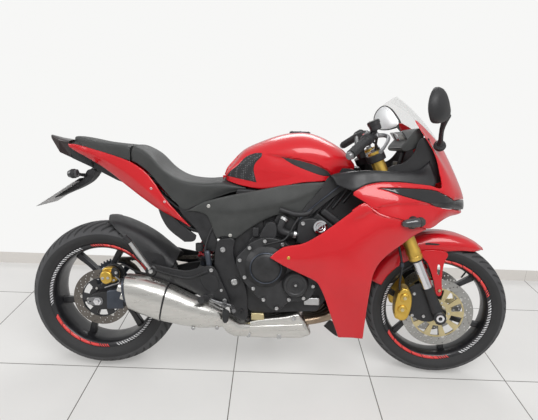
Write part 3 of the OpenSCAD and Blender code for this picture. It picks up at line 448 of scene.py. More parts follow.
def trimmed(name, outline, surface, thick, mat, *, step, roll, out, holes=(), scale=(1, 1), bulge=None,
            **how):
    """A sheet cut to an outline in a surface's own two coordinates, with its edges rolled in."""
    loops = [outline, *holes]
    sc = np.array(scale, float)
    flat = [np.asarray(p) * sc for p in loops]
    lo, hi = flat[0].min(0), flat[0].max(0)
    rings = []
    for d in (roll * 0.12, roll * 0.4, roll * 0.9) if roll else ():
        for poly in flat:
            nxt, prv = np.roll(poly, -1, axis=0), np.roll(poly, 1, axis=0)
            t = nxt - prv
            nn = unit(np.stack([t[:, 1], -t[:, 0]], 1))
            for sign in (1, -1):
                q = poly + nn * d * sign
                keep = edge_gap(flat, q) > d * 0.93
                rings.append(q[keep])
    gx, gy = np.meshgrid(np.arange(lo[0], hi[0], step), np.arange(lo[1], hi[1], step * 0.87))
    gx = gx + (np.arange(gx.shape[0])[:, None] % 2) * step / 2
    grid = np.stack([gx.ravel(), gy.ravel()], 1)
    grid = grid[edge_gap(flat, grid) > max(roll * 0.9 + step * 0.4, step * 0.45)]
    free = np.concatenate([grid, *rings]) if rings else grid
    free = free[within(flat, free)]
    p2, fs = filled(flat, np.concatenate([*flat, free]))
    gap = edge_gap(flat, p2)
    u, v = p2[:, 0] / sc[0], p2[:, 1] / sc[1]
    p = surface(u, v)
    e = 0.5
    du = surface(u + e / sc[0], v) - surface(u - e / sc[0], v)
    dv = surface(u, v + e / sc[1]) - surface(u, v - e / sc[1])
    nrm = unit(np.cross(du, dv))
    want = np.asarray(out(p) if callable(out) else np.broadcast_to(out, p.shape), float)
    nrm *= np.sign((nrm * want).sum(1) + 1e-12)[:, None]
    drop = np.zeros(len(p))
    if roll:
        d = np.clip(gap / roll, 0, 1)
        drop = roll * (1 - np.sqrt(np.maximum(0, 1 - (1 - d) ** 2)))
    if bulge is not None:
        drop = drop - bulge(u, v)
    top = p - nrm * drop[:, None]
    back = p - nrm * np.maximum(thick, drop + 0.8)[:, None]
    n = len(p)
    faces = two_sided(fs, n)
    used = sorted({i for f in faces for i in f})
    at = {k: i for i, k in enumerate(used)}
    pts3 = np.concatenate([top, back])[used]
    return add(name, pts3, [tuple(at[i] for i in f) for f in faces], mat, **how)


def side(height):
    """A surface over the side view: x and z give y."""
    return lambda u, v: np.stack([u, height(u, v), v], 1)


def cubic(t):
    """The four weights of a smooth curve between the middle two of four points."""
    return np.stack([-0.5 * t ** 3 + t ** 2 - 0.5 * t, 1.5 * t ** 3 - 2.5 * t ** 2 + 1,
                     -1.5 * t ** 3 + 2 * t ** 2 + 0.5 * t, 0.5 * t ** 3 - 0.5 * t ** 2], 1)


def rows_surface(rows):
    """A smooth surface through rows of points: u counts rows, v points."""
    g = np.array(rows, float)
    pad = np.pad(g, ((1, 1), (1, 1), (0, 0)), mode="edge")
    pad[0] = 2 * pad[1] - pad[2]
    pad[-1] = 2 * pad[-2] - pad[-3]
    pad[:, 0] = 2 * pad[:, 1] - pad[:, 2]
    pad[:, -1] = 2 * pad[:, -2] - pad[:, -3]

    def surface(u, v):
        u = np.clip(np.asarray(u, float), 0, g.shape[0] - 1)
        v = np.clip(np.asarray(v, float), 0, g.shape[1] - 1)
        i = np.clip(np.floor(u).astype(int), 0, g.shape[0] - 2)
        j = np.clip(np.floor(v).astype(int), 0, g.shape[1] - 2)
        wu, wv = cubic(u - i), cubic(v - j)
        total = 0
        for a in range(4):
            for b in range(4):
                total = total + (wu[:, a] * wv[:, b])[:, None] * pad[i + a, j + b]
        return total
    return surface


def shell_grid(name, surface, us, vs, mat, **how):
    """A sheet 3 mm thick over two lists of a surface's coordinates."""
    u, v = np.meshgrid(us, vs, indexing="ij")
    thicken(add(name, surface(u.ravel(), v.ravel()), quads(len(us), len(vs)), mat, **how), 3)


def rings_body(name, rings, mat, **how):
    """A closed body lofted through rings of equally many points."""
    g = np.array(rings, float)
    m, n = g.shape[:2]
    caps = [tuple(range(n))[::-1], tuple((m - 1) * n + j for j in range(n))]
    add(name, g.reshape(-1, 3), quads(m, n, close_n=True) + caps, mat, **how)


def tube(name, points, radius, mat, sides, step, **how):
    """A round bar swept along a smooth line. The radius may be a list along it."""
    line = flow(points, step, False, 3) if step else np.array(points, float)
    n = len(line)
    along = np.atleast_1d(np.array(radius, float))
    r = np.interp(np.linspace(0, 1, n), np.linspace(0, 1, len(along)), along)
    t = np.roll(line, -1, 0) - np.roll(line, 1, 0)
    t[0], t[-1] = line[1] - line[0], line[-1] - line[-2]
    t = unit(t)
    ref = np.array([0, 0, 1.0]) if abs(t[0][2]) < 0.9 else np.array([1.0, 0, 0])
    a = np.cross(t[0], ref)
    a /= np.linalg.norm(a)
    verts = []
    for i in range(n):
        a = a - t[i] * a.dot(t[i])
        a /= np.linalg.norm(a)
        b = np.cross(t[i], a)
        for k in range(sides):
            w = 2 * math.pi * k / sides
            verts.append(line[i] + r[i] * (a * math.cos(w) + b * math.sin(w)))
    caps = [tuple(range(sides))[::-1], tuple((n - 1) * sides + k for k in range(sides))]
    add(name, verts, quads(n, sides, close_n=True) + caps, mat, **how)


def turned(name, profile, centre, axis, mat, sides, closed=False, **how):
    """A profile of (radius, along) turned round an axis through centre."""
    ax = np.array(axis, float)
    ax /= np.linalg.norm(ax)
    ref = np.array([0, 0, 1.0]) if abs(ax[2]) < 0.9 else np.array([1.0, 0, 0])
    a = np.cross(ax, ref)
    a /= np.linalg.norm(a)
    b = np.cross(ax, a)
    c = np.array(centre, float)
    verts = []
    m = len(profile)
    for k in range(sides):
        w = 2 * math.pi * k / sides
        d = a * math.cos(w) + b * math.sin(w)
        verts += [c + d * r + ax * h for r, h in profile]
    faces = quads(sides, m, True, closed)
    if not closed:
        for i in (0, m - 1):
            if profile[i][0] > 1e-6:
                faces.append(tuple(k * m + i for k in range(sides)))
    ob = add(name, verts, faces, mat, **how)
    bm = bmesh.new()
    bm.from_mesh(ob.data)
    bmesh.ops.remove_doubles(bm, verts=bm.verts, dist=1e-6)
    bmesh.ops.recalc_face_normals(bm, faces=bm.faces)
    bm.to_mesh(ob.data)
    bm.free()


def slab(name, outline, y0, y1, mat, holes=(), *, edge, **how):
    """A flat plate standing along the machine between two y values, from an (x, z) outline."""
    loops = [np.asarray(outline, float), *[np.asarray(h, float) for h in holes]]
    p2, fs = filled(loops, np.concatenate(loops))
    verts = [(x, y, z) for y in (y0, y1) for x, z in p2]
    faces = two_sided(fs, len(p2))
    ob = add(name, verts, faces, mat, **how)
    bm = bmesh.new()
    bm.from_mesh(ob.data)
    bmesh.ops.dissolve_limit(bm, angle_limit=0.01, verts=bm.verts, edges=bm.edges)
    bm.to_mesh(ob.data)
    bm.free()
    bevel(ob, edge, 2, 30)


def bolt(name, centre, axis, radius, mat, height=None, socket=True, **how):
    """A round-headed cap screw, most with a socket."""
    h = height or radius * 0.8
    top = [(0, h * 0.45), (radius * 0.5, h * 0.45), (radius * 0.52, h)] if socket else [(0, h)]
    prof = [*top, (radius * 0.86, h), (radius, h * 0.8), (radius, 0), (0, 0)]
    turned(name, prof, centre, axis, mat, 20, **how)


# Body panels
def table(rows):
    """Points (x, z, y) from rows of x, low z, high z, low y, middle y, high y."""
    out = []
    for x, z0, z1, y0, y1, y2 in rows:
        out += [(x, z0, y0), (x, (z0 + z1) / 2, y1), (x, z1, y2)]
    return out


def mirrored(height, s):
    """The same height to the left, or to the right where s is -1."""
    return lambda u, v: s * height(u, v)


def below(line):
    """How far a side-view point lies under a line that runs along the machine."""
    xs, zs = [p[0] for p in line], [p[1] for p in line]
    return lambda u, v: np.interp(u, xs, zs) - v


def ease(t):
    """A smooth step from 0 to 1."""
    t = np.clip(t, 0, 1)
    return t * t * (3 - 2 * t)


SHOULDER = below([(240, 692), (276, 706), (305, 720), (336, 735), (371, 758), (401, 773), (450, 782),
                  (560, 783), (700, 772)])


def flute(u, v):
    """The shallow flute under the shoulder line that runs over the fairing and the nose."""
    t = SHOULDER(u, v)
    return -6.5 * ease((u - 250) / 90) * (1 - ease((u - 600) / 80)) * ease(t / 7) * (
        1 - ease((t - 10) / 66))


FAIRING_Y = spread(table([(-13, 541, 555, 229, 230, 229), (41, 517, 594, 231, 236, 232),
                          (110, 486, 610, 230, 241, 238), (190, 430, 662, 222, 243, 244),
                          (235, 318, 698, 203, 241, 247), (279, 208, 742, 172, 240, 249),
                          (340, 206, 774, 170, 237, 252), (378, 207, 748, 176, 226, 255),
                          (389, 484, 741, 222, 246, 257), (451, 583, 723, 226, 248, 256),
                          (500, 620, 708, 222, 240, 246), (535, 648, 696, 215, 228, 230),
                          (586, 672, 680, 203, 206, 206)]))
FAIRING_EDGE = flow([(-14, 549, 1), (8, 572), (41, 594), (110, 611), (169, 646), (235, 698), (290, 744),
                     (332, 774, 1), (352, 762), (391, 737), (440, 723.5), (479, 714.5), (540, 692.5),
                     (588, 676.5, 1), (535, 648), (498, 621), (451, 584), (414, 545), (395, 505),
                     (388, 470), (381, 359), (378, 207.5, 1), (279, 208.5, 1), (271, 229), (235, 319),
                     (207, 392), (188, 431), (169, 458), (110, 487), (41, 518)], 9)
for s, n in SIDES:
    trimmed("fairing_skin_" + n, FAIRING_EDGE, side(mirrored(FAIRING_Y, s)), 3.5, RED, roll=4, step=10,
            out=(0, s, 0), bulge=flute, stands_for=("fairing_" + n,))
    seam = [(x, s * (float(FAIRING_Y(x, z)) - 4), z)
            for x, z in flow([(290, 744), (332, 773), (352, 762), (391, 737), (440, 723), (479, 714),
                              (540, 692), (584, 678)], 20, False)]
    tube("fairing_seam_" + n, seam, 4.5, RED, 8, 0)
    bolt("fairing_bolt_" + n, (58, s * (float(FAIRING_Y(58, 553)) - 0.5), 553), (0, s, 0), 6, GOLD, 2.6)


# Nose, lamp and screen
def bezier_station(low, mid, high, k):
    """Points of an arc through three points of a station."""
    low, mid, high = (np.array(p, float) for p in (low, mid, high))
    c = 2 * mid - (low + high) / 2
    return [(1 - t) ** 2 * low + 2 * t * (1 - t) * c + t * t * high for t in np.linspace(0, 1, k + 1)]


def both_halves(rows):
    """Rows from one side to the middle, and back down the other side."""
    return rows + [[p * np.array([1, -1, 1]) for p in r] for r in rows[-2::-1]]


# Stations of the nose from the rear of the side to the middle of the front: low, half way and high point.
NOSE_ROWS = [((291, 236, 803), (291, 237, 809), (291, 236, 815)),
             ((335, 250, 779), (335, 247, 808), (335, 232, 842)),
             ((391, 257, 741), (391, 251, 795), (391, 224, 855)),
             ((440, 259, 728), (440, 250, 790), (440, 219, 857)),
             ((479, 257, 719), (479, 246, 785), (479, 214, 857)),
             ((540, 241, 697), (540, 232, 770), (540, 205, 852)),
             ((590, 212, 681), (590, 213, 760), (592, 194, 847)),
             ((622, 185, 684), (630, 194, 757), (641, 180, 838)),
             ((655, 152, 697), (674, 172, 775), (634, 170, 893)),
             ((690, 120, 711), (716, 140, 795), (611, 150, 978)),
             ((722, 85, 725), (753, 100, 805), (541, 112, 1097)),
             ((745, 44, 736), (779, 52, 806), (628, 60, 1043)),
             ((754, 0, 741), (788, 0, 803), (702, 0, 985))]
NOSE = rows_surface(both_halves([bezier_station(*r, 8) for r in NOSE_ROWS]))
NOSE_MIDDLE = (480, 0, 830)
NOSE_U, NOSE_V = 24, 8


def outward(surface, u, v, middle):
    """Points of a surface and its normals, turned away from a point in the middle."""
    e = 0.02
    p = surface(u, v)
    n = unit(np.cross(surface(u + e, v) - surface(u - e, v), surface(u, v + e) - surface(u, v - e)))
    return p, n * np.sign((n * (p - np.array(middle))).sum(1))[:, None]


def nose_skin(drop=0.0):
    """The nose with its flute, sunk by a depth."""
    def surface(u, v):
        p, n = outward(NOSE, u, v, NOSE_MIDDLE)
        return p + n * (flute(p[:, 0], p[:, 2]) - drop)[:, None]
    return surface


def away_from(middle):
    """The direction from a point in the middle."""
    return lambda p: p - np.array(middle)


def sheet_edge(u_end, v_end, u_count, v_count):
    """The outline of a whole surface in its own coordinates."""
    us, vs = np.linspace(0, u_end, u_count), np.linspace(0.5, v_end - 0.5, v_count)
    return np.concatenate([np.stack([us, np.zeros(u_count)], 1), [[u_end, v] for v in vs],
                           np.stack([us[::-1], np.full(u_count, float(v_end))], 1),
                           [[0, v] for v in vs[::-1]]])


def find_uv(surface, targets, us, vs):
    """The surface coordinates of side-view points, by a search in two steps."""
    pick = (0, 2)
    out = []
    gu, gv = np.meshgrid(us, vs, indexing="ij")
    gu, gv = gu.ravel(), gv.ravel()
    p = surface(gu, gv)[:, pick]
    du, dv = us[1] - us[0], vs[1] - vs[0]
    for t in targets:
        k = ((p - np.array(t[:2])) ** 2).sum(1).argmin()
        near_u, near_v = np.linspace(gu[k] - du, gu[k] + du, 15), np.linspace(gv[k] - dv, gv[k] + dv, 15)
        fu, fv = np.meshgrid(near_u, near_v, indexing="ij")
        fu, fv = np.clip(fu.ravel(), us[0], us[-1]), np.clip(fv.ravel(), vs[0], vs[-1])
        q = surface(fu, fv)[:, pick]
        j = ((q - np.array(t[:2])) ** 2).sum(1).argmin()
        out.append((fu[j], fv[j]))
    return np.array(out)


def shrink(poly, d, scale):
    """An outline moved inwards by a distance."""
    p = np.asarray(poly) * np.array(scale, float)
    t = np.roll(p, -1, 0) - np.roll(p, 1, 0)
    n = unit(np.stack([t[:, 1], -t[:, 0]], 1))
    q = p + n * d
    if not inside(p, q[:1])[0]:
        q = p - n * d
    return q / np.array(scale, float)


# The lamp's outline, from side-view points of its upper and its lower edge
us, vs = np.linspace(0, NOSE_U / 2, 145), np.linspace(0, NOSE_V, 97)
top = find_uv(NOSE, flow([(384, 834), (450, 837), (515, 836), (612, 829), (668, 808), (712, 787)], 14,
                         False), us, vs)
low = find_uv(NOSE, flow([(384, 834), (430, 822), (475, 808), (567, 785), (630, 764), (668, 755),
                          (716, 749)], 14, False), us, vs)
mid_v = [np.interp(z, NOSE(np.full(97, 12.0), vs)[:, 2], vs) for z in (776, 746)]
top = np.concatenate([top, [[10.9, (top[-1][1] + mid_v[0]) / 2 + 0.02], [12, mid_v[0]]]])
low = np.concatenate([low, [[11.0, (low[-1][1] + mid_v[1]) / 2], [12, mid_v[1]]]])
half = np.concatenate([low[::-1], top[1:]])
lamp_edge = np.concatenate([half, [[NOSE_U - u, v] for u, v in half[::-1][1:-1]]])
NOSE_SCALE = (46, 26)
nose = {"scale": NOSE_SCALE, "out": away_from(NOSE_MIDDLE)}
trimmed("nose_skin", sheet_edge(NOSE_U, NOSE_V, 97, 12), nose_skin(), 3.5, RED, holes=[lamp_edge], step=9,
        roll=3, stands_for=("nose_cowl",), **nose)
trimmed("lamp_lens", shrink(lamp_edge, 1.4, NOSE_SCALE), nose_skin(1.2), 3, LENS, step=9, roll=2,
        stands_for=("headlamp",), **nose)
trimmed("lamp_body", lamp_edge, nose_skin(16), 3, DARK, step=14, roll=0, **nose)
SCREEN_ROWS = [((538, 111, 1098.5), (499, 98, 1133), (452, 74, 1163)),
               ((580, 86, 1073), (524, 74, 1129), (467, 54, 1177)),
               ((625.5, 60, 1044.6), (556, 47, 1124), (480, 33, 1188)),
               ((665, 32, 1015.5), (578, 24, 1119), (487, 16, 1193)),
               ((701, 0, 987), (596, 0, 1112), (489, 0, 1195))]
SCREEN = rows_surface(both_halves([[q + np.array([-2, 0, 2.5]) for q in bezier_station(*r, 6)]
    for r in SCREEN_ROWS]))
trimmed("screen", sheet_edge(8, 6, 49, 10), SCREEN, 3, CLEAR, scale=(48, 24), step=10, roll=1.2,
        out=away_from((430, 0, 1000)), stands_for=("windscreen",))
for s, u in ((-1, 14.45), (1, 9.55)):
    p = NOSE(np.array([u]), np.array([7.6]))[0]
    bolt(f"screen_bolt_{s}", p, (0.35, 0.9 * s, 0.3), 6, BLACK, 3)


# Tank
def crown(x, top, shoulder, half, low, low_half, n, m, square=2.4):
    """Half a section from its low edge over the shoulder to the middle of the top."""
    flank = [(x, low_half + (half - low_half) * ease(t), low + (shoulder - low) * t)
             for t in np.linspace(0, 1, n)[:-1]]
    arc = [(x, half * math.cos(t) ** (2 / square), shoulder + (top - shoulder)
            * math.sin(t) ** (2 / square)) for t in np.linspace(0, math.pi / 2, m)]
    return [np.array(p, float) for p in flank + arc]


def over(rows, **kw):
    """Sections of a body from its left low edge over the top to its right low edge."""
    out = []
    for r in rows:
        h = crown(*r, **kw)
        out.append(h + [p * np.array([1, -1, 1]) for p in h[-2::-1]])
    return out


# Columns: x, top z, shoulder z, shoulder half width, low z, low half width, here and in the seats.
TANK = rows_surface(over([(-214, 852, 842, 84, 838, 70), (-204, 880, 856, 100, 830, 90),
                          (-184, 906, 872, 110, 824, 102), (-134, 958, 892, 126, 812, 116),
                          (-62, 994, 906, 138, 804, 128), (20, 1024, 922, 149, 818, 138),
                          (98, 1036, 928, 156, 836, 148), (160, 1027, 924, 156, 843, 150),
                          (222, 1001, 915, 148, 850, 140), (275, 969, 908, 126, 868, 114),
                          (303, 938, 904, 104, 880, 96), (316, 922, 902, 90, 888, 84)], n=6, m=11))
TANK_U, TANK_V = 11, 30
TANK_MIDDLE = (40, 0, 880)
CREASE = below([(-60, 948), (12, 940), (91, 930), (157, 914), (200, 892), (222, 874)])


def tank_skin(lift=0.0):
    """The tank with its crease and its hollows for the knees, raised by a height."""
    def surface(u, v):
        p, n = outward(TANK, u, v, TANK_MIDDLE)
        t = CREASE(p[:, 0], p[:, 2])
        reach = ease((p[:, 0] + 70) / 90) * (1 - ease((p[:, 0] - 200) / 40)) * (np.abs(p[:, 1]) > 60)
        dent = -9 * reach * ease(t / 5) * (1 - ease((t - 8) / 60))
        knee = -7 * ease((-20 - p[:, 0]) / 70) * ease((960 - p[:, 2]) / 60) * (np.abs(p[:, 1]) > 40)
        return p + n * (dent + knee + lift)[:, None]
    return surface


shell_grid("tank_skin", tank_skin(), np.linspace(0, TANK_U, 111), np.linspace(0, TANK_V, 121), RED,
           stands_for=("fuel_tank",))
tv = {1: np.linspace(0, TANK_V / 2, 91), -1: np.linspace(TANK_V / 2, TANK_V, 91)}
tu = np.linspace(0, TANK_U, 133)
SLOT = flow([(14, 936, 1), (71, 926), (144, 909), (203, 884), (217, 868, 1), (186, 866), (112, 888),
             (59, 909)], 8)
KNEE = flow([(-157, 892), (-125, 926), (-92, 943), (-60, 947, 1), (-60, 934), (-84, 906), (-90, 884),
             (-87, 862), (-77, 829, 1), (-120, 836), (-170, 845), (-199, 849, 1), (-186, 868)], 8)
patch = {"scale": (48, 14), "out": away_from(TANK_MIDDLE)}
for s, n in SIDES:
    slot, pad = (find_uv(tank_skin(), line, tu, tv[s]) for line in (SLOT, KNEE))
    trimmed("tank_slot_" + n, slot, tank_skin(0.7), 2, PLASTIC, step=8, roll=0.6, **patch)
    trimmed("knee_pad_" + n, pad, tank_skin(1.6), 2.4, PAD, step=7, roll=1.4, **patch)
CAP = (95, 0, 1032)
turned("fuel_cap_lid", [(0, 7.2), (30, 7), (31, 5.6), (33, 5.6), (34, 7.2), (43, 6), (44, 4), (44, 0.2),
                        (26, 0), (26, -17), (0, -17)], CAP, UPWARD, DARK, 72, body="fuel_cap",
       stands_for=("fuel_cap",))
slab("fuel_cap_flap", flow([(78, 1), (112, 1), (112, 6), (78, 6)], 32), -8, 8, BLACK, edge=0.8,
     body="fuel_cap", place=UPRIGHT @ Matrix.Translation((0, 0, 1033.3)))
for k, (x, y) in enumerate(circle(38.5, 6, math.radians(30))):
    bolt(f"cap_bolt_{k}", (CAP[0] + x, y, 1038.3), UPWARD, 3.2, SATIN, 1.8, body="fuel_cap")


# Seats
def cushion(name, rows, square, stands_for):
    """A padded seat: a crowned closed form that is flat below."""
    us_ = np.linspace(0, len(rows) - 1, (len(rows) - 1) * 7 + 1)
    vs_ = np.linspace(0, 28, 57)
    u, v = np.meshgrid(us_, vs_, indexing="ij")
    verts = rows_surface(over(rows, n=6, m=10, square=square))(u.ravel(), v.ravel())
    m, n = len(us_), len(vs_)
    faces = quads(m, n) + [(i * n, (i + 1) * n, (i + 1) * n + n - 1, i * n + n - 1) for i in range(m - 1)]
    faces += [tuple(range(n))[::-1], tuple((m - 1) * n + j for j in range(n))]
    ob = add(name, verts, faces, SEAT, stands_for=stands_for, sharp=50)
    bevel(ob, 2.5, 3, 50)


cushion("rider_seat_cushion", [(-583, 955, 925, 106, 897, 103), (-572, 962, 938, 110, 894, 108),
    (-545, 954, 928, 114, 880, 112), (-503, 929, 905, 124, 848, 119), (-450, 876, 858, 131, 790, 126),
    (-405, 848, 828, 135, 745, 130), (-366, 835, 812, 137, 712, 130), (-320, 829, 806, 136, 728, 129),
    (-274, 829, 804, 132, 748, 124), (-221, 834, 806, 122, 768, 112), (-170, 822, 804, 112, 786, 106),
    (-120, 809, 802, 104, 796, 101)], 3.0, ("rider_seat",))
cushion("pillion_seat_cushion", [(-832, 983, 977, 48, 968, 46), (-822, 988, 978, 60, 962, 58),
    (-780, 982, 972, 84, 948, 82), (-716, 971, 958, 99, 930, 97), (-650, 965, 950, 108, 912, 106),
    (-606, 962, 946, 112, 902, 110), (-588, 957, 940, 110, 899, 107)], 3.4, ("pillion_seat",))

# Tail
TAIL_Y = spread(table([(-850, 934, 957, 66, 73, 73), (-785, 900, 946, 78, 86, 85),
                       (-711, 860, 928, 90, 102, 102), (-642, 809, 912, 98, 114, 115),
                       (-583, 762, 894, 104, 121, 121), (-499, 712, 833, 113, 129, 129),
                       (-430, 682, 745, 124, 133, 133), (-380, 661, 690, 131, 135, 135),
                       (-336, 637, 647, 134.6, 135.3, 135)]))
TAIL_EDGE = flow([(-853, 955, 1), (-816, 953), (-735, 936), (-640, 912), (-586, 894), (-545, 872),
                  (-517, 850), (-483, 811), (-449, 760), (-400, 705), (-340, 640, 1), (-372, 656),
                  (-420, 677), (-483, 703), (-553, 746), (-600, 778), (-634, 803), (-664, 829), (-740, 879),
                  (-846, 934, 1)], 8)
TAIL_LINE = below([(-855, 947), (-760, 922), (-680, 893), (-600, 850), (-520, 785), (-450, 722),
                   (-340, 640)])
for s, n in SIDES:
    trimmed("tail_skin_" + n, TAIL_EDGE, side(mirrored(TAIL_Y, s)), 3.5, RED, roll=4, step=8, out=(0, s, 0),
            bulge=lambda u, v: -0.22 * np.maximum(0, TAIL_LINE(u, v) - 4) - 1.5 * ease(TAIL_LINE(u, v) / 8),
            stands_for=("tail_panels",) if s < 0 else ())
    for x, z in ((-497, 790), (-443, 738)):
        bolt(f"tail_bolt_{n}_{-x}", (x, s * (float(TAIL_Y(x, z)) - 1.5), z), (0, s, 0.1), 5, ALLOY, 2.4)

# Side covers
COVER_Y = spread(table([(-372, 698, 704, 128, 129, 130), (-310, 672, 706, 134, 137, 138),
                        (-264, 655, 724, 138, 142, 141), (-226, 594, 740, 141, 146, 142),
                        (-150, 598, 760, 143, 149, 140), (-62, 668, 800, 146, 152, 140),
                        (15, 702, 806, 149, 154, 143), (88, 684, 816, 152, 156, 147),
                        (150, 740, 826, 152, 155, 150), (205, 830, 842, 151, 152, 151)]))
COVER_EDGE = flow([(-366, 702, 1), (-341, 711), (-310, 731), (-273, 749), (-174, 777), (-101, 793),
                   (-20, 812), (56, 828), (130, 838), (207, 843, 1), (150, 768), (88, 685, 1), (55, 698),
                   (15, 703), (-20, 690), (-62, 668), (-110, 634), (-140, 609), (-162, 597), (-192, 606),
                   (-212, 604), (-232, 592, 1), (-250, 634), (-262, 668), (-275, 690), (-310, 703)], 8)
COVER_LINE = below([(-372, 712), (-265, 716), (-170, 712), (-60, 728), (60, 764), (205, 830)])
for s, n in SIDES:
    trimmed("side_cover_" + n, COVER_EDGE, side(mirrored(COVER_Y, s)), 3.5, GREY, roll=4, step=9,
            out=(0, s, 0), bulge=lambda u, v: -4.0 * ease(COVER_LINE(u, v) / 14) * ease((u + 330) / 60),
            stands_for=("side_covers",) if s < 0 else ())
    for x, z in ((-265, 729), (-176, 613)):
        bolt(f"cover_bolt_{n}_{-x}", (x, s * (float(COVER_Y(x, z)) - (0.2 if z > 700 else 4)), z),
             (0, s, 0), 7, STEEL, 3)


# Tyres and wheels, in the wheel's own frame: x ahead, y left, z up from the axle
GROOVE_W, GROOVE_DEEP = 5.2, 3.6
TYRE_SIDES = 840


def tyre(name, outer, width, rim_w, drop, place, body, stands_for, period):
    """A tyre with a rounded tread and cut grooves."""
    half = width / 2
    line = [(half * math.sin(a), outer - drop * (1 - math.cos(a)), 1.0)
            for a in np.radians(np.linspace(-82, 82, 37))]
    wall = [(half * 1.0, outer - drop - 4), (half * 0.985, outer - drop - 12), (half * 0.93, 247),
            (rim_w / 2 + 9, 236), (rim_w / 2 + 3, 229.5), (rim_w / 2 - 4, 226)]
    inner = [(half * 0.86, 244), (half * 0.9, outer - drop - 8), (half * 0.7, outer - drop * 0.45 - 9),
             (0, outer - 10)]
    ring = [(-y, r, 0.0) for y, r in wall[::-1]] + line + [(y, r, 0.0) for y, r in wall]
    ring += [(y, r, 0.0) for y, r in inner] + [(-y, r, 0.0) for y, r in inner[-2::-1]]
    ring = np.array(ring)
    m, n = len(ring), TYRE_SIDES
    ang = np.arange(n) * 2 * math.pi / n
    y, r, tread = (np.broadcast_to(ring[:, k], (n, m)).copy() for k in range(3))
    w = np.abs(y) / half
    cut = np.zeros((n, m))
    # Columns of a groove: place in the pattern, where it starts and stops across the half width, its sweep.
    for reach, start, stop, sweep in ((0.0, 0.10, 0.93, 0.30), (0.5, 0.42, 0.95, 0.30),
            (0.25, 0.02, 0.36, 0.16)):
        phase = (ang[:, None] / period - sweep * w ** 1.3 / period + np.where(y > 0, 0.5, 0.0)
                 + reach) % 1.0
        d = np.minimum(phase, 1 - phase) * period * outer
        width_mm = GROOVE_W * np.clip((w - start) / 0.1, 0, 1) * np.clip((stop - w) / 0.08, 0, 1)
        cut = np.maximum(cut, ease((width_mm - d) / 1.6 + 0.5) * (width_mm > 0.1))
    r = r - GROOVE_DEEP * cut * (tread > 0)
    verts = np.stack([r * np.cos(ang)[:, None], y, r * np.sin(ang)[:, None]], 2).reshape(-1, 3)
    land = (cut < 0.3) & (tread > 0)
    picks = [int(land[k, i] and land[k, (i + 1) % m]) for k in range(n) for i in range(m)]
    add(name, verts, quads(n, m, True, True), None, body=body, place=place, sharp=60, stands_for=stands_for,
        mats=[TYRE, TREAD], picks=picks)


tyre("front_tyre_skin", 300, 120, 89, 37, AT_FRONT, "front_wheel", ("front_tyre",), math.pi / 11)
tyre("rear_tyre_skin", 315, 180, 140, 50, AT_REAR, "rear_wheel", ("rear_tyre",), math.pi / 12)


def rim_profile(w, barrel):
    """The closed section of a rim."""
    o = w / 2
    half = [(barrel, 0), (barrel, o * 0.45), (barrel + 3, o - 12), (barrel + 7, o - 4), (216, o + 2),
            (223, o + 5.6), (228.5, o + 5.8), (229.4, o + 4.4), (229, o + 1.4), (221, o), (217.5, o - 2),
            (216, o - 6), (215, o - 16), (barrel + 8, o * 0.4), (barrel + 7, 0)]
    return half + [(r, -a) for r, a in half[-2:0:-1]]


def spoke_leg(r0, r1, w, axis, side_):
    """One leg of a forked spoke: wide at the hub, spreading to the rim."""
    a, b, c = (axis + side_ * math.radians(v) for v in (9, 20, 28))
    line = np.array([(r * math.cos(t), r * math.sin(t))
                     for r, t in ((r0 - 10, a), (r0 + (r1 - r0) * 0.45, b), (r1 + 2, c))])
    d = np.gradient(line, axis=0)
    n = np.stack([-d[:, 1], d[:, 0]], 1) / np.linalg.norm(d, axis=1)[:, None]
    half = np.array([w * 0.8, w * 0.52, w * 0.66])[:, None]
    left, right = line + n * half, line - n * half
    return flow([(*left[0], 1), tuple(left[1]), (*left[2], 1), (*right[2], 1), tuple(right[1]),
                 (*right[0], 1)], 9)


RED_BAND, WHITE_TICKS, RED_TICKS = 0, 1, 2
# Columns: degrees from one piece to the next, its length, its slant and its parts.
TAPE_STEPS = {RED_BAND: (12.5, 11.8, 2.5, 4), WHITE_TICKS: (3.1, 1.5, 2.5, 1),
              RED_TICKS: (2.6, 1.5, 2.5, 1)}


def tape(name, w, runs, place, body):
    """Segmented bands of tape on both rim flanges, in red and white, with slanted ends."""
    verts, faces, picks = [], [], []
    o = w / 2
    rows = [(216.6, o + 3.0), (222.8, o + 6.3), (228.4, o + 6.5)]
    for s in (-1, 1):
        # Columns of a run: kind, first and last degree round the rim.
        for kind, a0, a1 in runs:
            step, fill, slant, sub = TAPE_STEPS[kind]
            for a in np.arange(a0, a1, step):
                b = min(a + fill, a1)
                k = len(verts)
                for j in range(sub + 1):
                    t = a + (b - a) * j / sub
                    for i, (r, y) in enumerate(rows):
                        w_ = math.radians(t + slant * i / 2)
                        verts.append((r * math.cos(w_), s * y, r * math.sin(w_)))
                for j in range(sub):
                    for i in (0, 1):
                        q = k + 3 * j + i
                        faces.append((q, q + 1, q + 4, q + 3))
                        picks.append(int(kind == WHITE_TICKS))
    ob = add(name, verts, faces, None, body=body, place=place, mats=[TAPE_RED, TAPE_WHITE], picks=picks)
    thicken(ob, 0.4)


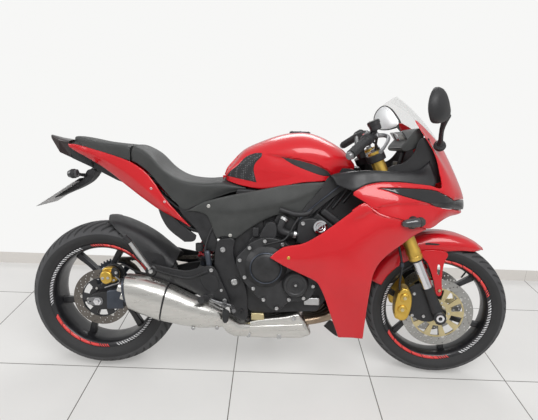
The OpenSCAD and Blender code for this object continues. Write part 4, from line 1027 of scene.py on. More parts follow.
def wheel(name, w, hub_r, hub_half, spoke_w, spoke_t, place, body, stands_for, first):
    """A cast wheel with three forked spokes, the first axis at an angle."""
    barrel = 205
    on = {"place": place, "body": body}
    turns = [first + 120 * k for k in (0, 0, 1, 1, 2, 2)]
    turned(name + "_rim", rim_profile(w, barrel), ORIGIN, ALONG_Y, WHEEL, 128, closed=True,
           stands_for=stands_for, **on)
    for i, turn in enumerate(turns):
        leg = spoke_leg(hub_r, barrel + 1, spoke_w, math.radians(turn), -1 if i % 2 else 1)
        slab(f"{name}_spoke_{i}", leg, -spoke_t / 2, spoke_t / 2, WHEEL, edge=5, **on)
    low_r, high_r, core_r = hub_r * 0.72, hub_r * 0.78, hub_r + 3
    half = [(core_r, spoke_t * 0.5), (high_r, spoke_t * 0.8), (high_r, hub_half - 3), (low_r, hub_half),
            (13, hub_half)]
    turned(name + "_hub", [(r, -h) for r, h in half[::-1]] + half, ORIGIN, ALONG_Y, WHEEL, 64, closed=True,
           **on)
    (x0, z0), (x1, z1) = (circle(r, 1, math.radians(54))[0] for r in (barrel, barrel - 30))
    tube(name + "_valve", [(x0, 0, z0), (x1, -6, z1)], 3.6, PLASTIC, 10, 0, **on)


wheel("front_wheel_cast", 89, 34, 40, 20, 24, AT_FRONT, "front_wheel", ("front_wheel_rim",), 72)
wheel("rear_wheel_cast", 140, 46, 60, 22, 30, AT_REAR, "rear_wheel", ("rear_wheel_rim",), 101)
tape("front_rim_tape", 89, [(RED_BAND, 28, 92), (RED_TICKS, 20, 28), (WHITE_TICKS, -58, 16),
                            (RED_BAND, -150, -84), (RED_TICKS, -84, -72), (WHITE_TICKS, 150, 200)],
     AT_FRONT, "front_wheel")
tape("rear_rim_tape", 140, [(RED_BAND, 30, 86), (RED_TICKS, 86, 100), (WHITE_TICKS, 112, 190),
                            (RED_BAND, 204, 262), (RED_TICKS, 262, 274), (WHITE_TICKS, -76, -20)], AT_REAR,
     "rear_wheel")


def window(r0, r1, first, last, n):
    """An opening between two circles and two angles."""
    q = np.linspace(first, last, n)
    return [(r1 * math.cos(b), r1 * math.sin(b)) for b in q] + [(r0 * math.cos(b), r0 * math.sin(b))
        for b in q[::-1]]


def disc(name, y, r_out, r_in, t, rows, on, carrier_mat, hub, arms, stands_for, mat=DISC):
    """A drilled brake disc on a windowed carrier."""
    k = np.linspace(0, 2 * math.pi, 97)[:-1]
    wave = 1 + 0.012 * np.cos(k * 12)
    out = 1 if y > 0 else -1
    # Columns of a row of holes: radius of the row, count, turn as a share of the spacing, radius of a hole.
    holes = []
    for r, n, off, rad in rows:
        holes += [centre + circle(rad, 8) for centre in circle(r, n, 2 * math.pi * off / n)]
    on = {"body": on["body"], "place": on["place"] @ Matrix.Translation((0, y, 0))}
    slab(name, circle(r_out, 96), -t / 2, t / 2, mat, [circle(r_in, 96) * wave[:, None], *holes], edge=0.5,
         stands_for=stands_for, **on)
    arm = 2 * math.pi / arms
    windows = [window(hub + 9, r_in * 0.93, arm * (i + 0.2), arm * (i + 0.8), 7) for i in range(arms)]
    slab(name + "_carrier", circle(r_in - 1.5, 96), -t * 0.75, t * 0.75, carrier_mat,
         [circle(hub - 12, 96), *windows], edge=1.0, **on)
    half = [(7, t * 0.6), (6, t * 0.7), (0, t * 0.7)]
    for i, (x, z) in enumerate(circle(r_in, arms)):
        turned(f"{name}_bobbin_{i}", [(r, -h) for r, h in half[::-1]] + half, (x, 0, z), ALONG_Y, STEEL, 16,
               **on)
    for i, (x, z) in enumerate(circle(hub - 2, arms)):
        if i % 2 == 0:
            bolt(f"{name}_bolt_{i}", (x, out * t * 0.6, z), (0, out, 0), 5, STEEL, 3.4, **on)


for s, n in SIDES:
    disc("front_disc_" + n, s * 72, 148, 112, 4.6,
         ((140, 24, 0.0, 2.9), (131, 24, 0.33, 2.9), (121.5, 24, 0.66, 2.9)),
         {"place": AT_FRONT, "body": "front_wheel"}, PALE_GOLD, 50, 10, ("front_discs",) if s < 0 else ())
disc("rear_disc_ring", -84, 120, 86, 4.8,
     ((112, 20, 0.0, 2.8), (103, 20, 0.33, 2.8), (94.5, 20, 0.66, 2.8)),
     ON_REAR, WHEEL, 46, 6, ("rear_disc",), DARK_DISC)
turned("sprocket_carrier", [(14, 62), (52, 62), (58, 70), (58, 92), (52, 96), (14, 96)], ORIGIN, ALONG_Y,
       WHEEL, 48, closed=True, **ON_REAR)
PITCH = 15.875
CHAIN_Y = 103.5
REAR_TEETH, FRONT_TEETH = 46, 16


def pitch_radius(n):
    """The radius of the circle through the chain's pins on a sprocket."""
    return PITCH / (2 * math.sin(math.pi / n))


rear_r = pitch_radius(REAR_TEETH)
# Half a tooth: share of the pitch, height over the pitch circle.
HALF_TOOTH = ((-0.30, -3.5), (-0.16, 2.0), (-0.06, 4.6))
TOOTH = (*HALF_TOOTH, *((-off, rise) for off, rise in HALF_TOOTH[::-1]), (0.5, -4.6))
teeth = [circle(rear_r + rise, 1, 2 * math.pi * (i + 0.5 + off) / REAR_TEETH)[0] for i in range(REAR_TEETH)
         for off, rise in TOOTH]
sixth = math.pi / 3
wins = [window(66, 98, sixth * (i + 0.14), sixth * (i + 0.86), 8) for i in range(6)]
slab("rear_sprocket", teeth, 100.8, 106.2, DARK, [circle(40, 48), *wins], edge=0.6, **ON_REAR)
for i, (x, z) in enumerate(circle(52, 6)):
    bolt(f"sprocket_nut_{i}", (x, 106, z), ALONG_Y, 8, STEEL, 7, socket=False, **ON_REAR)


# Chain
def chain_path():
    """Pitch points round both sprockets, with the travel direction."""
    c0, r0 = np.array([-95.0, 430.0]), pitch_radius(FRONT_TEETH)
    c1, r1 = np.array([-1000 * HALF_BASE, 1000 * REAR_R]), rear_r
    d = c1 - c0
    base = math.atan2(d[1], d[0])
    off = math.acos((r0 - r1) / np.linalg.norm(d))
    up, down = base + off, base - off

    def arc(c, r, a, b, n):
        """Points round a sprocket."""
        return [c + r * np.array([math.cos(a + (b - a) * t), math.sin(a + (b - a) * t)])
                for t in np.linspace(0, 1, n)[:-1]]

    def run(a, b):
        """Points of a straight run."""
        return [a + (b - a) * t for t in np.linspace(0, 1, 60)[:-1]]

    (p0, p1), (q0, q1) = ([arc(c, r, a, a, 2)[0] for c, r in ((c0, r0), (c1, r1))] for a in (up, down))
    loop = run(p0, p1) + arc(c1, r1, up, up + (down - up) % (2 * math.pi), 90)
    loop += run(q1, q0) + arc(c0, r0, down, down + (up - down) % (2 * math.pi), 40)
    loop = np.array(loop)
    seg = np.linalg.norm(np.roll(loop, -1, 0) - loop, axis=1)
    s = np.concatenate([[0], np.cumsum(seg)])
    count = 2 * int(round(s[-1] / PITCH / 2))
    closed = np.concatenate([loop, loop[:1]])
    at = np.arange(count) * s[-1] / count
    return np.stack([np.interp(at, s, closed[:, 0]), np.interp(at, s, closed[:, 1])], 1)


def chain_links():
    """Plates in pairs, inner and outer by turns, with a roller at each pin."""
    p = chain_path()
    n = len(p)
    verts = []
    faces = []
    for i in range(n):
        a, b = p[i], p[(i + 1) % n]
        t = (b - a) / np.linalg.norm(b - a)
        w = np.array([-t[1], t[0]])
        ring = [c + sgn * t * 7.2 * math.cos(q) + w * 7.2 * math.sin(q) * sgn
                for c, sgn in ((a, -1), (b, 1)) for q in np.radians([-75, -30, 30, 75])]
        plates = ((6.2, 7.6), (-7.6, -6.2)) if i % 2 else ((4.4, 5.8), (-5.8, -4.4))
        for outline, (y0, y1) in ((ring, plates[0]), (ring, plates[1]), (a + circle(3.4, 8), (-8.4, 8.4))):
            k = len(verts)
            verts += [(x, CHAIN_Y + y, z) for y in (y0, y1) for x, z in outline]
            faces += [tuple(range(k, k + 8)), tuple(range(k + 15, k + 7, -1))]
            faces += [(k + j, k + (j + 1) % 8, k + 8 + (j + 1) % 8, k + 8 + j) for j in range(8)]
    add("chain_links", verts, faces, CHAIN, sharp=30, stands_for=("drive_chain",))


chain_links()


# Swingarm, hugger, exhaust, engine side and hangers, in millimetres on the upright machine
def section_bar(name, stations, mat, corner, stands_for=()):
    """A bar of rounded rectangles: each station is x, low z, high z, right y, left y."""
    rings = []
    for x, z0, z1, y0, y1 in stations:
        c = min(corner, (z1 - z0) * 0.45, (y1 - y0) * 0.45)
        corners = ((y1 - c, z1 - c, 0), (y0 + c, z1 - c, 90), (y0 + c, z0 + c, 180), (y1 - c, z0 + c, 270))
        rings.append([(x, cy + c * math.cos(math.radians(w)), cz + c * math.sin(math.radians(w)))
                      for cy, cz, turn in corners for w in range(turn, turn + 91, 30)])
    rings_body(name, rings, mat, stands_for=stands_for)


PIVOT = (-154, 0, 423)
REAR_AXLE = (-718.5, 0, 315)
# Columns: x, low z, high z, right y, left y.
RIGHT_ARM = [(-118, 398, 442, -136, -106), (-140, 389, 449, -136, -106), (-200, 377, 452, -136, -105),
             (-290, 358, 441, -135, -105), (-380, 342, 424, -135, -105), (-480, 320, 397, -135, -105),
             (-560, 303, 374, -135, -105), (-618, 292, 358, -135, -105)]
LEFT_ARM = [(x, z0, z1, 114, 135) for x, z0, z1, _, _ in RIGHT_ARM] + [(-700, 284, 350, 114, 135),
    (-745, 290, 342, 114, 135)]
section_bar("swingarm_right", RIGHT_ARM, BLACK, corner=9, stands_for=("swingarm",))
section_bar("swingarm_left", LEFT_ARM, BLACK, corner=7)
section_bar("swingarm_block", [(-612, 288, 369, -139, -102), (-618, 285, 371, -141, -100),
    (-672, 282, 364, -141, -100), (-679, 284, 360, -139, -102)], DARK, corner=8)
slab("swingarm_end", flow([(-676, 350), (-706, 352), (-744, 338), (-756, 322), (-756, 306), (-744, 292),
                           (-706, 281), (-676, 284)], 6), -134, -106, BLACK, edge=3)
section_bar("swingarm_bridge", [(-330, 372, 430, -107, 113), (-322, 370, 434, -107, 113),
    (-282, 378, 442, -107, 113), (-274, 380, 440, -107, 113)], BLACK, corner=8)
turned("swingarm_pivot_tube", [(24, -119), (31, -116), (31, 116), (24, 119)], PIVOT, (0, 1, 0), BLACK, 40)
turned("rear_axle", [(11, -138), (11, 139)], REAR_AXLE, (0, 1, 0), STEEL, 28)
for side_y, name in SIDES:
    face = 136 if side_y > 0 else 134
    slab("axle_plate_" + name, flow([(-762, 309), (-758, 324), (-732, 333), (-704, 330), (-696, 315),
        (-704, 300), (-732, 297), (-758, 301)], 5), side_y * face, side_y * (face + 4), SATIN,
         holes=[flow([(-760, 312), (-745, 315), (-745, 311), (-760, 308)], 6)], edge=1)
    turned("axle_nut_" + name, [(0, 12), (10, 12), (11, 9), (11, 4), (17, 3.5), (17, 0), (0, 0)],
           (-718.5, side_y * (face + 4), 315), (0, side_y, 0), CHROME, 6)
    tube("chain_adjuster_" + name, [(-748, side_y * (face - 14), 318), (-768, side_y * (face - 14), 318)],
         4, STEEL, 10, 20)


# Hugger: rows from the tail to the front, each an edge, a shoulder and the crest above the tyre
HUGGER = [((34, -78, 330), (22, -50, 337), (10, 0, 342)), ((62, -92, 300), (70, -64, 322), (62, 0, 336)),
          ((92, -97, 270), (114, -70, 303), (110, 0, 319)),
          ((116, -100, 236), (156, -75, 280), (152, 0, 299)),
          ((134, -102, 204), (202, -80, 250), (198, 0, 270)),
          ((165, -103, 166), (244, -84, 214), (242, 0, 238)),
          ((216, -104, 144), (280, -88, 184), (280, 0, 210)),
          ((300, -104, 138), (312, -90, 162), (314, 0, 190))]


def across_middle(rows):
    """Rows from the right edge to the crest, carried on to the left edge."""
    return [[*row, *[(x, -y, z) for x, y, z in row[-2::-1]]] for row in rows]


shell_grid("hugger", rows_surface(across_middle(HUGGER)), np.linspace(0, 7, 43), np.linspace(0, 4, 37),
           PLASTIC, place=AT_REAR, stands_for=("rear_hugger",))
slab("hugger_stay", flow([(150, 190), (198, 150), (236, 97), (256, 95), (276, 150), (252, 200)], 8), -104,
     -99, PLASTIC, edge=1.5, place=AT_REAR)
bolt("hugger_bolt_1", (247, -104, 108), RIGHTWARD, 6, ALLOY, place=AT_REAR)
bolt("hugger_bolt_2", (225, -104, 170), RIGHTWARD, 6, BLACK, place=AT_REAR)


# Rear brake caliper
# Plates of the caliper. Columns: outline, right y, left y, edge radius, finish.
REAR_CALIPER = [([(16, 86), (9, 108), (14, 130), (32, 140), (56, 140), (76, 126), (82, 104), (74, 82),
                  (56, 72), (34, 74)], -118, -92, 8, GOLD),
                ([(14, 84), (8, 104), (16, 122), (40, 128), (58, 114), (60, 88), (44, 74), (26, 72)], -134,
                 -112, 7, GOLD), ([(52, 116), (58, 140), (76, 136), (86, 118), (80, 98), (64, 100)], -126,
    -110, 6, BLACK), ([(18, 92), (10, 120), (26, 140), (66, 142), (88, 122), (92, 98), (70, 80), (36, 78)],
                      -78, -62, 6, BLACK)]
for i, (outline, y0, y1, edge, mat) in enumerate(REAR_CALIPER):
    slab("rear_caliper_body_%d" % i, flow(outline, 5), y0, y1, mat, edge=edge, place=AT_REAR,
         stands_for=("rear_caliper",) if i == 0 else ())
slab("rear_caliper_bracket", flow([(-24, -12), (-26, 14), (-6, 34), (14, 78), (30, 92), (92, 88), (104, 58),
    (70, 44), (24, 34), (26, 0), (14, -24), (-8, -26)], 7), -104, -96, BLACK, edge=2, place=AT_REAR)
# Columns: x, y, z, radius.
CALIPER_BOLTS = ((22, -134, 98, 6), (44, -134, 100, 6), (76, -129, 122, 6), (92, -104, 66, 7),
    (64, -122, 88, 5))
for i, (x, y, z, r) in enumerate(CALIPER_BOLTS):
    bolt("rear_caliper_bolt_%d" % i, (x, y, z), RIGHTWARD, r, ALLOY, place=AT_REAR)
tube("rear_brake_hose", [(-640, -118, 462), (-615, -122, 470), (-560, -112, 440), (-450, -110, 424),
                         (-330, -112, 452), (-250, -120, 470)], 4, BLACK, 10, 12)
tube("rear_brake_pipe", [(-648, -126, 420), (-628, -130, 400), (-660, -132, 384), (-690, -130, 372)], 3,
     SATIN, 10, 8)

# Shock absorber
SHOCK_LOW, SHOCK_TOP = np.array((-305, 0, 446.0)), np.array((-262, 0, 640.0))
along = SHOCK_TOP - SHOCK_LOW
turned("shock_body", [(14, 0), (14, 70), (20, 74), (20, 190), (15, 196)], SHOCK_LOW, along, DARK, 28,
       stands_for=("shock_absorber",))
turned("shock_collar", [(20, 168), (34, 170), (34, 180), (20, 182)], SHOCK_LOW, along, ALLOY, 32)
turned("shock_seat", [(14, 24), (34, 26), (34, 33), (14, 35)], SHOCK_LOW, along, BLACK, 32)
ux = np.cross(along / np.linalg.norm(along), (0, 1, 0))
turns = [SHOCK_LOW + along * (0.19 + 0.65 * t) + 27 * (ux * math.cos(w) + np.array((0, 1, 0)) * math.sin(w))
         for t in np.linspace(0, 1, 141) for w in (t * 13 * math.pi,)]
tube("shock_spring", turns, 6.2, SPRING, 10, 0)
turned("shock_reservoir", [(0, -38), (16, -38), (19, -34), (19, 34), (16, 38), (0, 38)], (-300, 62, 600),
       (0.4, 0, 1), ALLOY, 28)


# Silencer: sections share one rounded outline with a crease along each side
SECTION = flow([(-0.42, 1), (0.42, 1), (0.86, 0.72), (1, 0.34), (0.98, -0.1), (0.78, -0.66), (0.36, -1),
                (-0.36, -1), (-0.78, -0.66), (-0.98, -0.1), (-1, 0.34), (-0.86, 0.72)], 0.11)
# Each station: top x, z, bottom x, z, middle y, half width.
CAN = [(-170, 304, -182, 250, -176, 26), (-196, 322, -203, 248, -186, 36), (-262, 353, -281, 249, -199, 47),
       (-320, 378, -350, 261, -205, 52), (-388, 412, -421, 277, -210, 57), (-440, 430, -462, 290, -212, 58),
       (-499, 447, -512, 308, -214, 58), (-570, 455, -556, 328, -216, 55)]


def can_ring(t, grow=0.0, rows=CAN):
    """One ring of the silencer at a station, whole or part."""
    i = min(int(t), len(rows) - 2)
    a, b = np.array(rows[i], float), np.array(rows[i + 1], float)
    r = a + (b - a) * (t - i)
    ring = []
    for s, h in SECTION:
        u = (1 + h) / 2
        ring.append((r[2] + (r[0] - r[2]) * u, r[4] - (r[5] + grow) * s,
                     r[3] + (r[1] - r[3]) * u + grow * h))
    return ring


rings_body("silencer_front", [can_ring(t) for t in (0, 0.5, 1, 1.5, 2, 2.5, 3, 3.5, 4, 4.3)], STEEL,
           stands_for=("silencer",))
rings_body("silencer_rear", [can_ring(t, g)
                             for t, g in ((4.42, -3), (4.44, 2), (5, 2), (5.5, 2), (6, 2), (6.5, 2),
    (6.97, 2), (7, -2))], STEEL)
rings_body("silencer_band", [can_ring(4.28, -2), can_ring(4.3, -1), can_ring(4.42, -1), can_ring(4.44, -2)],
           BLACK)
LINK = [(-186, 314, -196, 252, -184, 34), (-158, 286, -178, 222, -172, 34),
        (-128, 262, -146, 200, -160, 34), (-84, 254, -92, 192, -140, 34)]
rings_body("silencer_link", [can_ring(t, 0, LINK) for t in (0, 0.5, 1, 1.5, 2, 2.5, 3)], STEEL)
rings_body("silencer_end_cap", [[(x - 4, y, z) for x, y, z in can_ring(7, -9)],
    [(x - 14, y, z) for x, y, z in can_ring(7, -14)]], DARK)
for name, centre in (("tail_pipe", (-578, -222, 402)), ("tail_pipe_2", (-572, -206, 364))):
    turned(name, [(14, -8), (17, -8), (18, 24), (15, 24), (14, 0)], centre, (-0.96, 0, 0.28), STEEL, 32,
           closed=True)
tube("link_pipe", [(-110, -100, 222), (-140, -104, 222), (-166, -124, 232), (-186, -160, 266),
                   (-204, -180, 284)], 24, STEEL, 24, 8)
turned("link_clamp", [(24, -9), (29, -9), (29, 9), (24, 9)], (-126, -101, 222), (1, 0.1, 0), CHROME, 32,
       closed=True)
for k, centre in enumerate(((-306, -226, 253), (-214, -210, 251))):
    bolt("silencer_bolt_%d" % k, centre, (0, -1, -0.3), 8, ALLOY)
slab("silencer_bracket", flow([(-190, 332), (-170, 332), (-166, 300), (-174, 280), (-188, 282)], 7), -232,
     -226, BLACK, edge=2)
SHIELD = [(-110, 250), (-44, 268), (60, 284), (114, 298), (146, 258), (172, 206), (126, 188), (-20, 184),
          (-110, 186)]
slab("collector_cover", flow([(*p, 1) for p in SHIELD], 40), -152, 44, STEEL, edge=12,
     stands_for=("exhaust_shield",))
slab("collector_fold", flow([(*p, 1) for p in [(-110, 236), (40, 246), (132, 254), (150, 228),
    (-110, 214)]], 60), -156, -150, STEEL, edge=3)
for k, (x, z) in enumerate(((95, 277), (37, 196), (-90, 200))):
    bolt("collector_bolt_%d" % k, (x, -152, z), RIGHTWARD, 10, ALLOY)
# The four headers, whose upper ends lie at the cylinders and whose lower ends draw together
for i in range(4):
    y = -132 + i * 88
    low = -75 + i * 22
    tube("header_%d" % i, [(292, y, 624.6), (318, y, 602), (325, y, 560), (316, y * 0.97, 500),
                           (300, y * 0.93, 400), (282, y * 0.9, 330), (256, (y + low) / 2, 282),
                           (205, low - 18, 256), (120, low - 30, 244)], 18, HEATED, 20, 12,
         stands_for=("exhaust_headers",) if i == 0 else ())
    turned("header_flange_%d" % i, [(17, -4), (27, -4), (27, 4), (17, 4)], (297, y, 619), (0.7, 0, -0.7),
           BLACK, 24, closed=True)

# Pivot plates and hangers
PIVOT_SIDE = flow([(-226, 585), (-204, 600), (-158, 597), (-160, 560), (-156, 522), (-128, 452),
                   (-104, 394), (-99, 330), (-101, 262), (-152, 259), (-176, 330), (-198, 400), (-226, 452),
                   (-238, 500)], 7)
for s, name in SIDES:
    slab("pivot_plate_" + name, PIVOT_SIDE, s * 137, s * 150, BLACK, edge=4,
         stands_for=("pivot_plates",) if s < 0 else ())
    turned("pivot_washer_" + name, [(0, 2), (22, 2), (24, 0), (0, 0)], (-154, s * 150, 423), (0, s, 0),
           PLASTIC, 32)
    bolt("pivot_bolt_" + name, (-154, s * 151, 423), (0, s, 0), 13, ALLOY, 7)
    bolt("plate_bolt_top_" + name, (-203, s * 150, 556), (0, s, 0), 11, ALLOY)
    bolt("plate_bolt_low_" + name, (-122, s * 150, 300), (0, s, 0), 9, BLACK)
turned("pivot_shaft", [(9.5, -150), (9.5, 150)], PIVOT, (0, 1, 0), STEEL, 24)
slab("stand_bracket", flow([(-150, 292), (-118, 292), (-60, 268), (4, 246), (8, 206), (-30, 197),
                            (-150, 250)], 9), 132, 142, BLACK, edge=3)
turned("stand_pin", [(0, -14), (18, -14), (19, -11), (19, -0.6), (6, -0.6), (6, 18), (0, 18)],
       (-20, 152, 222), (0, math.cos(math.radians(22)), -math.sin(math.radians(22))), STEEL, 32)
# The pillion pegs, folded up on the right and down on the left.
PEG_UP = [(-492, -176, 474), (-512, -186, 506), (-556, -220, 590), (-574, -229, 612)]
PEG_DOWN = [(-492, 176, 474), (-486, 184, 450), (-468, 196, 394), (-462, 200, 376)]
HANGER = flow([(-503, 462), (-490, 484), (-462, 486), (-400, 474), (-345, 468), (-292, 482), (-250, 491),
               (-228, 476), (-206, 430), (-182, 380), (-170, 338), (-186, 326), (-214, 330), (-268, 352),
               (-330, 384), (-400, 410), (-452, 418), (-490, 438)], 8)
for s, name in SIDES:
    slab("hanger_" + name, HANGER, s * 160, s * 169, BLACK, edge=3.5,
         stands_for=("foot_controls",) if s < 0 else ())
    tube("hanger_rib_" + name, [(-480, s * 170, 470), (-400, s * 170, 448), (-330, s * 170, 440),
                                (-262, s * 170, 468)], 5, BLACK, 10, 10)
    turned("hanger_boss_" + name, [(0, 7), (19, 7), (23, 4), (23, 0), (0, 0)], (-487, s * 168, 462),
           (0, s, 0), BLACK, 36)
    bolt("hanger_boss_bolt_" + name, (-487, s * 174, 462), (0, s, 0), 9, ALLOY)
    for k, (x, z, r) in enumerate(((-246, 474, 8), (-190, 350, 8), (-204, 392, 6))):
        bolt("hanger_bolt_%s_%d" % (name, k), (x, s * 169, z), (0, s, 0), r, ALLOY)
        tube("hanger_spacer_%s_%d" % (name, k), [(x, s * 150, z), (x, s * 161, z)], 9, BLACK, 16, 20)
    folded = PEG_UP if s < 0 else PEG_DOWN
    tube("pillion_peg_" + name, folded[:3], [9, 10.5, 9], ALLOY if s < 0 else BLACK, 16, 10)
    tube("pillion_peg_rubber_" + name, folded[2:], [11, 9.5], PLASTIC, 16, 8)
    tube("rider_peg_" + name, [(-244, s * 166, 362), (-252, s * 200, 370), (-256, s * 222, 375)],
         [9, 12, 12], ALLOY, 20, 10)
    tube("rider_peg_rubber_" + name, [(-256, s * 222, 375), (-268, s * 290, 391)], [13, 13], PLASTIC, 20,
         10)
    for k in range(6):
        turned("peg_rib_%s_%d" % (name, k), [(12.5, -2), (14.6, -1.4), (14.6, 1.4), (12.5, 2)],
               (-257.5 - 1.9 * k, s * (231 + 10.5 * k), 377 + 2.4 * k), (-0.17, s * 0.95, 0.22), PLASTIC,
               24)
slab("heel_plate_right", flow([(-286, 448), (-232, 452), (-214, 410), (-232, 384), (-262, 392),
    (-284, 420)], 8), -172, -169, PLASTIC, edge=1.5)
section_bar("brake_pedal", [(-278, 352, 366, -186, -176), (-262, 350, 368, -187, -175),
                            (-220, 337, 352, -186, -176), (-180, 329, 343, -186, -176),
                            (-160, 324, 338, -188, -178)], SATIN, corner=4)
tube("pedal_tip", [(-158, -186, 331), (-150, -212, 332), (-147, -238, 333)], [7, 7.5, 8], SATIN, 16, 8)
turned("pedal_pivot", [(0, 8), (12, 8), (14, 5), (14, 0), (0, 0)], (-190, -178, 336), RIGHTWARD, SATIN, 28)
tube("gear_lever", [(-236, 176, 352), (-180, 182, 344), (-120, 190, 340), (-112, 238, 345)], 7, ALLOY, 14,
     10)
tube("gear_lever_rubber", [(-113, 214, 343), (-112, 246, 346)], 10.5, PLASTIC, 16, 8)
tube("brake_switch_hose", [(-262, -158, 500), (-276, -150, 540), (-268, -140, 590), (-250, -132, 640)], 4,
     BLACK, 10, 12)
turned("brake_master", [(0, -34), (11, -34), (12, -20), (12, 24), (8, 30), (0, 34)], (-262, -152, 520),
       (-0.15, 0, 1), DARK, 24)
turned("brake_reservoir", [(0, -16), (14, -16), (16, -12), (16, 14), (0, 14)], (-300, -134, 560), UPWARD,
       PLASTIC, 24)


# Engine side
CASE = flow([(-104, 545, 1), (-92, 606), (20, 632), (110, 590), (235, 560), (262, 500), (236, 380),
             (190, 302, 1), (-70, 284, 1), (-112, 318), (-112, 500)], 14)
slab("crankcase", CASE, -134, 80, ENGINE, edge=6, stands_for=("engine_block",))
slab("crankcase_left", flow([(5, 560), (60, 588), (140, 582), (235, 556), (262, 500), (236, 380),
                             (190, 302, 1), (20, 290, 1), (5, 330)], 14), 76, 134, ENGINE, edge=6)
HEAD = UPRIGHT @ Matrix.Translation((150, 0, 560)) @ Matrix.Rotation(math.radians(36), 4, "Y")


def block(name, lo, hi, mat, edge, place=None, **how):
    """A box with rounded edges between two corners."""
    (x0, y0, z0), (x1, y1, z1) = lo, hi
    verts = [(x, y, z) for x in (x0, x1) for y in (y0, y1) for z in (z0, z1)]
    faces = [(0, 1, 3, 2), (4, 6, 7, 5), (0, 4, 5, 1), (2, 3, 7, 6), (0, 2, 6, 4), (1, 5, 7, 3)]
    bevel(add(name, verts, faces, mat, place=place, **how), edge, 3, 30)


block("cylinders", (-70, -150, -10), (66, 150, 100), ENGINE, 5, HEAD)
block("cylinder_head", (-80, -156, 98), (74, 156, 140), ENGINE, 6, HEAD)
block("cam_cover", (-72, -152, 140), (66, 152, 176), PLASTIC, 14, HEAD)
for i in range(9):
    block("cylinder_fin_%d" % i, (-77, -156, 10 + i * 9), (73, 156, 13 + i * 9), ENGINE, 1, HEAD)
COVER = flow([(-148, 522), (-112, 572), (-96, 592), (-36, 618), (38, 606), (80, 570), (120, 520),
              (172, 474), (178, 428), (142, 366), (72, 356), (22, 318), (-34, 352), (-84, 400),
              (-124, 450)], 9)
slab("clutch_cover_base", COVER, -184, -134, ENGINE, edge=5, stands_for=("engine_covers",))
for i, (x, z) in enumerate(((-35, 604), (-95, 575), (-132, 524), (-111, 455), (-75, 410), (-33, 365),
                            (21, 331), (69, 369), (127, 377), (162, 428), (35, 593), (110, 520))):
    turned("cover_lug_%d" % i, [(0, 0), (12, 0), (12, -30), (0, -30)], (x, -186, z), RIGHTWARD, ENGINE, 20)
    bolt("cover_bolt_%d" % i, (x, -186, z), RIGHTWARD, 7.5, ALLOY, 6)
turned("clutch_dome", [(0, 30), (46, 29), (58, 24), (66, 12), (80, 4), (84, 0), (0, 0)], (-28, -184, 500),
       RIGHTWARD, ENGINE, 64)
turned("clutch_ring", [(58, 25), (60, 27), (63, 25), (64, 22), (60, 20)], (-28, -184, 500), RIGHTWARD, DARK,
       64, closed=True)
turned("pulse_cover", [(0, 20), (10, 20), (11, 22), (14, 22), (15, 20), (34, 19), (38, 22), (45, 22),
                       (50, 16), (54, 0), (0, 0)], (92, -184, 434), RIGHTWARD, ENGINE, 56)
turned("pulse_plug", [(0, 24), (5, 24), (6, 20), (0, 20)], (92, -184, 434), RIGHTWARD, ALLOY, 6)
turned("alternator_cover", [(0, 58), (52, 56), (74, 44), (86, 20), (94, 0), (0, 0)], (86, 134, 436),
       (0, 1, 0), ENGINE, 64)
slab("sprocket_cover", flow([(-94, 488), (-60, 506), (-20, 496), (12, 440), (-10, 396), (-50, 372),
                             (-92, 378)], 9), 134, 170, PLASTIC, edge=6)
for i, (x, z) in enumerate(circle(90, 8)):
    bolt("alternator_bolt_%d" % i, (86 + x, 142, 436 + z), ALONG_Y, 7, ALLOY)
slab("throttle_cover", flow([(-58, 606), (-34, 668), (-20, 678), (4, 674), (12, 640), (2, 610), (-30, 600)],
                            7), -172, -140, PLASTIC, edge=5)
tube("coolant_hose", [(44, -160, 700), (30, -166, 676), (26, -168, 652), (46, -168, 638), (96, -166, 630)],
     [16, 16, 15, 14, 14], PLASTIC, 18, 7)
for k, r, centre, axis in ((1, 14, (82, -166.4, 632), (1, 0, -0.2)),
        (2, 16, (38, -163, 690), (0.5, 0.2, 0.8))):
    turned("hose_clip_%d" % k, [(r, -5), (r + 2.5, -5), (r + 2.5, 5), (r, 5)], centre, axis, ALLOY, 28,
           closed=True)
slab("head_side_cover", flow([(92, 606), (90, 650), (98, 686), (140, 700), (176, 690), (192, 640),
                              (176, 610), (140, 590), (106, 594)], 8), -174, -140, PLASTIC, edge=6)
bolt("head_side_bolt", (112, -174, 678), RIGHTWARD, 8, ALLOY)
turned("thermostat_cap", [(0, 12), (8, 12), (10, 14), (16, 14), (20, 18), (27, 18), (29, 14), (29, 0),
                          (0, 0)], (180, -172, 668), RIGHTWARD, CHROME, 40)
tube("clutch_cable", [(96, -172, 700), (78, -176, 672), (60, -180, 636), (40, -184, 612), (0, -188, 600),
                      (-40, -190, 590)], 3.6, PLASTIC, 10, 8)
tube("breather_hose", [(150, -150, 738), (130, -158, 716), (80, -158, 712), (20, -152, 728)], 11, PLASTIC,
     14, 9)
block("starter_box", (-86, -150, 612), (-60, -130, 650), PLASTIC, 4)
turned("oil_filter", [(0, 0), (34, 0), (37, 4), (37, 70), (32, 78), (0, 78)], (196, 0, 340), (1, 0, -0.3),
       BLACK, 40)
block("oil_passage", (132, -160, 338), (196, -134, 370), ALLOY, 5)
block("sump_block", (-82, -150, 262), (-28, -134, 292), PALE_GOLD, 4)
slab("gearbox_back", flow([(-160, 500), (-166, 600), (-131, 660), (-60, 700), (-40, 640), (-60, 560),
                           (-100, 500)], 10), -122, -60, ENGINE, edge=6)
slab("intake_side", flow([(0, 620), (20, 720), (88, 752), (140, 730), (150, 640), (73, 600)], 10), -138,
     -110, ENGINE, edge=5)
slab("duct_panel", flow([(60, 640), (150, 784), (222, 886), (330, 884), (384, 790), (320, 700), (200, 640)],
                        12), -132, -126, PLASTIC, edge=2)
for k in range(4):
    tube("duct_louvre_%d" % k, [(150 + 40 * k, -136, 690 + 24 * k), (220 + 34 * k, -138, 790 + 14 * k)], 7,
         BLACK, 10, 12)
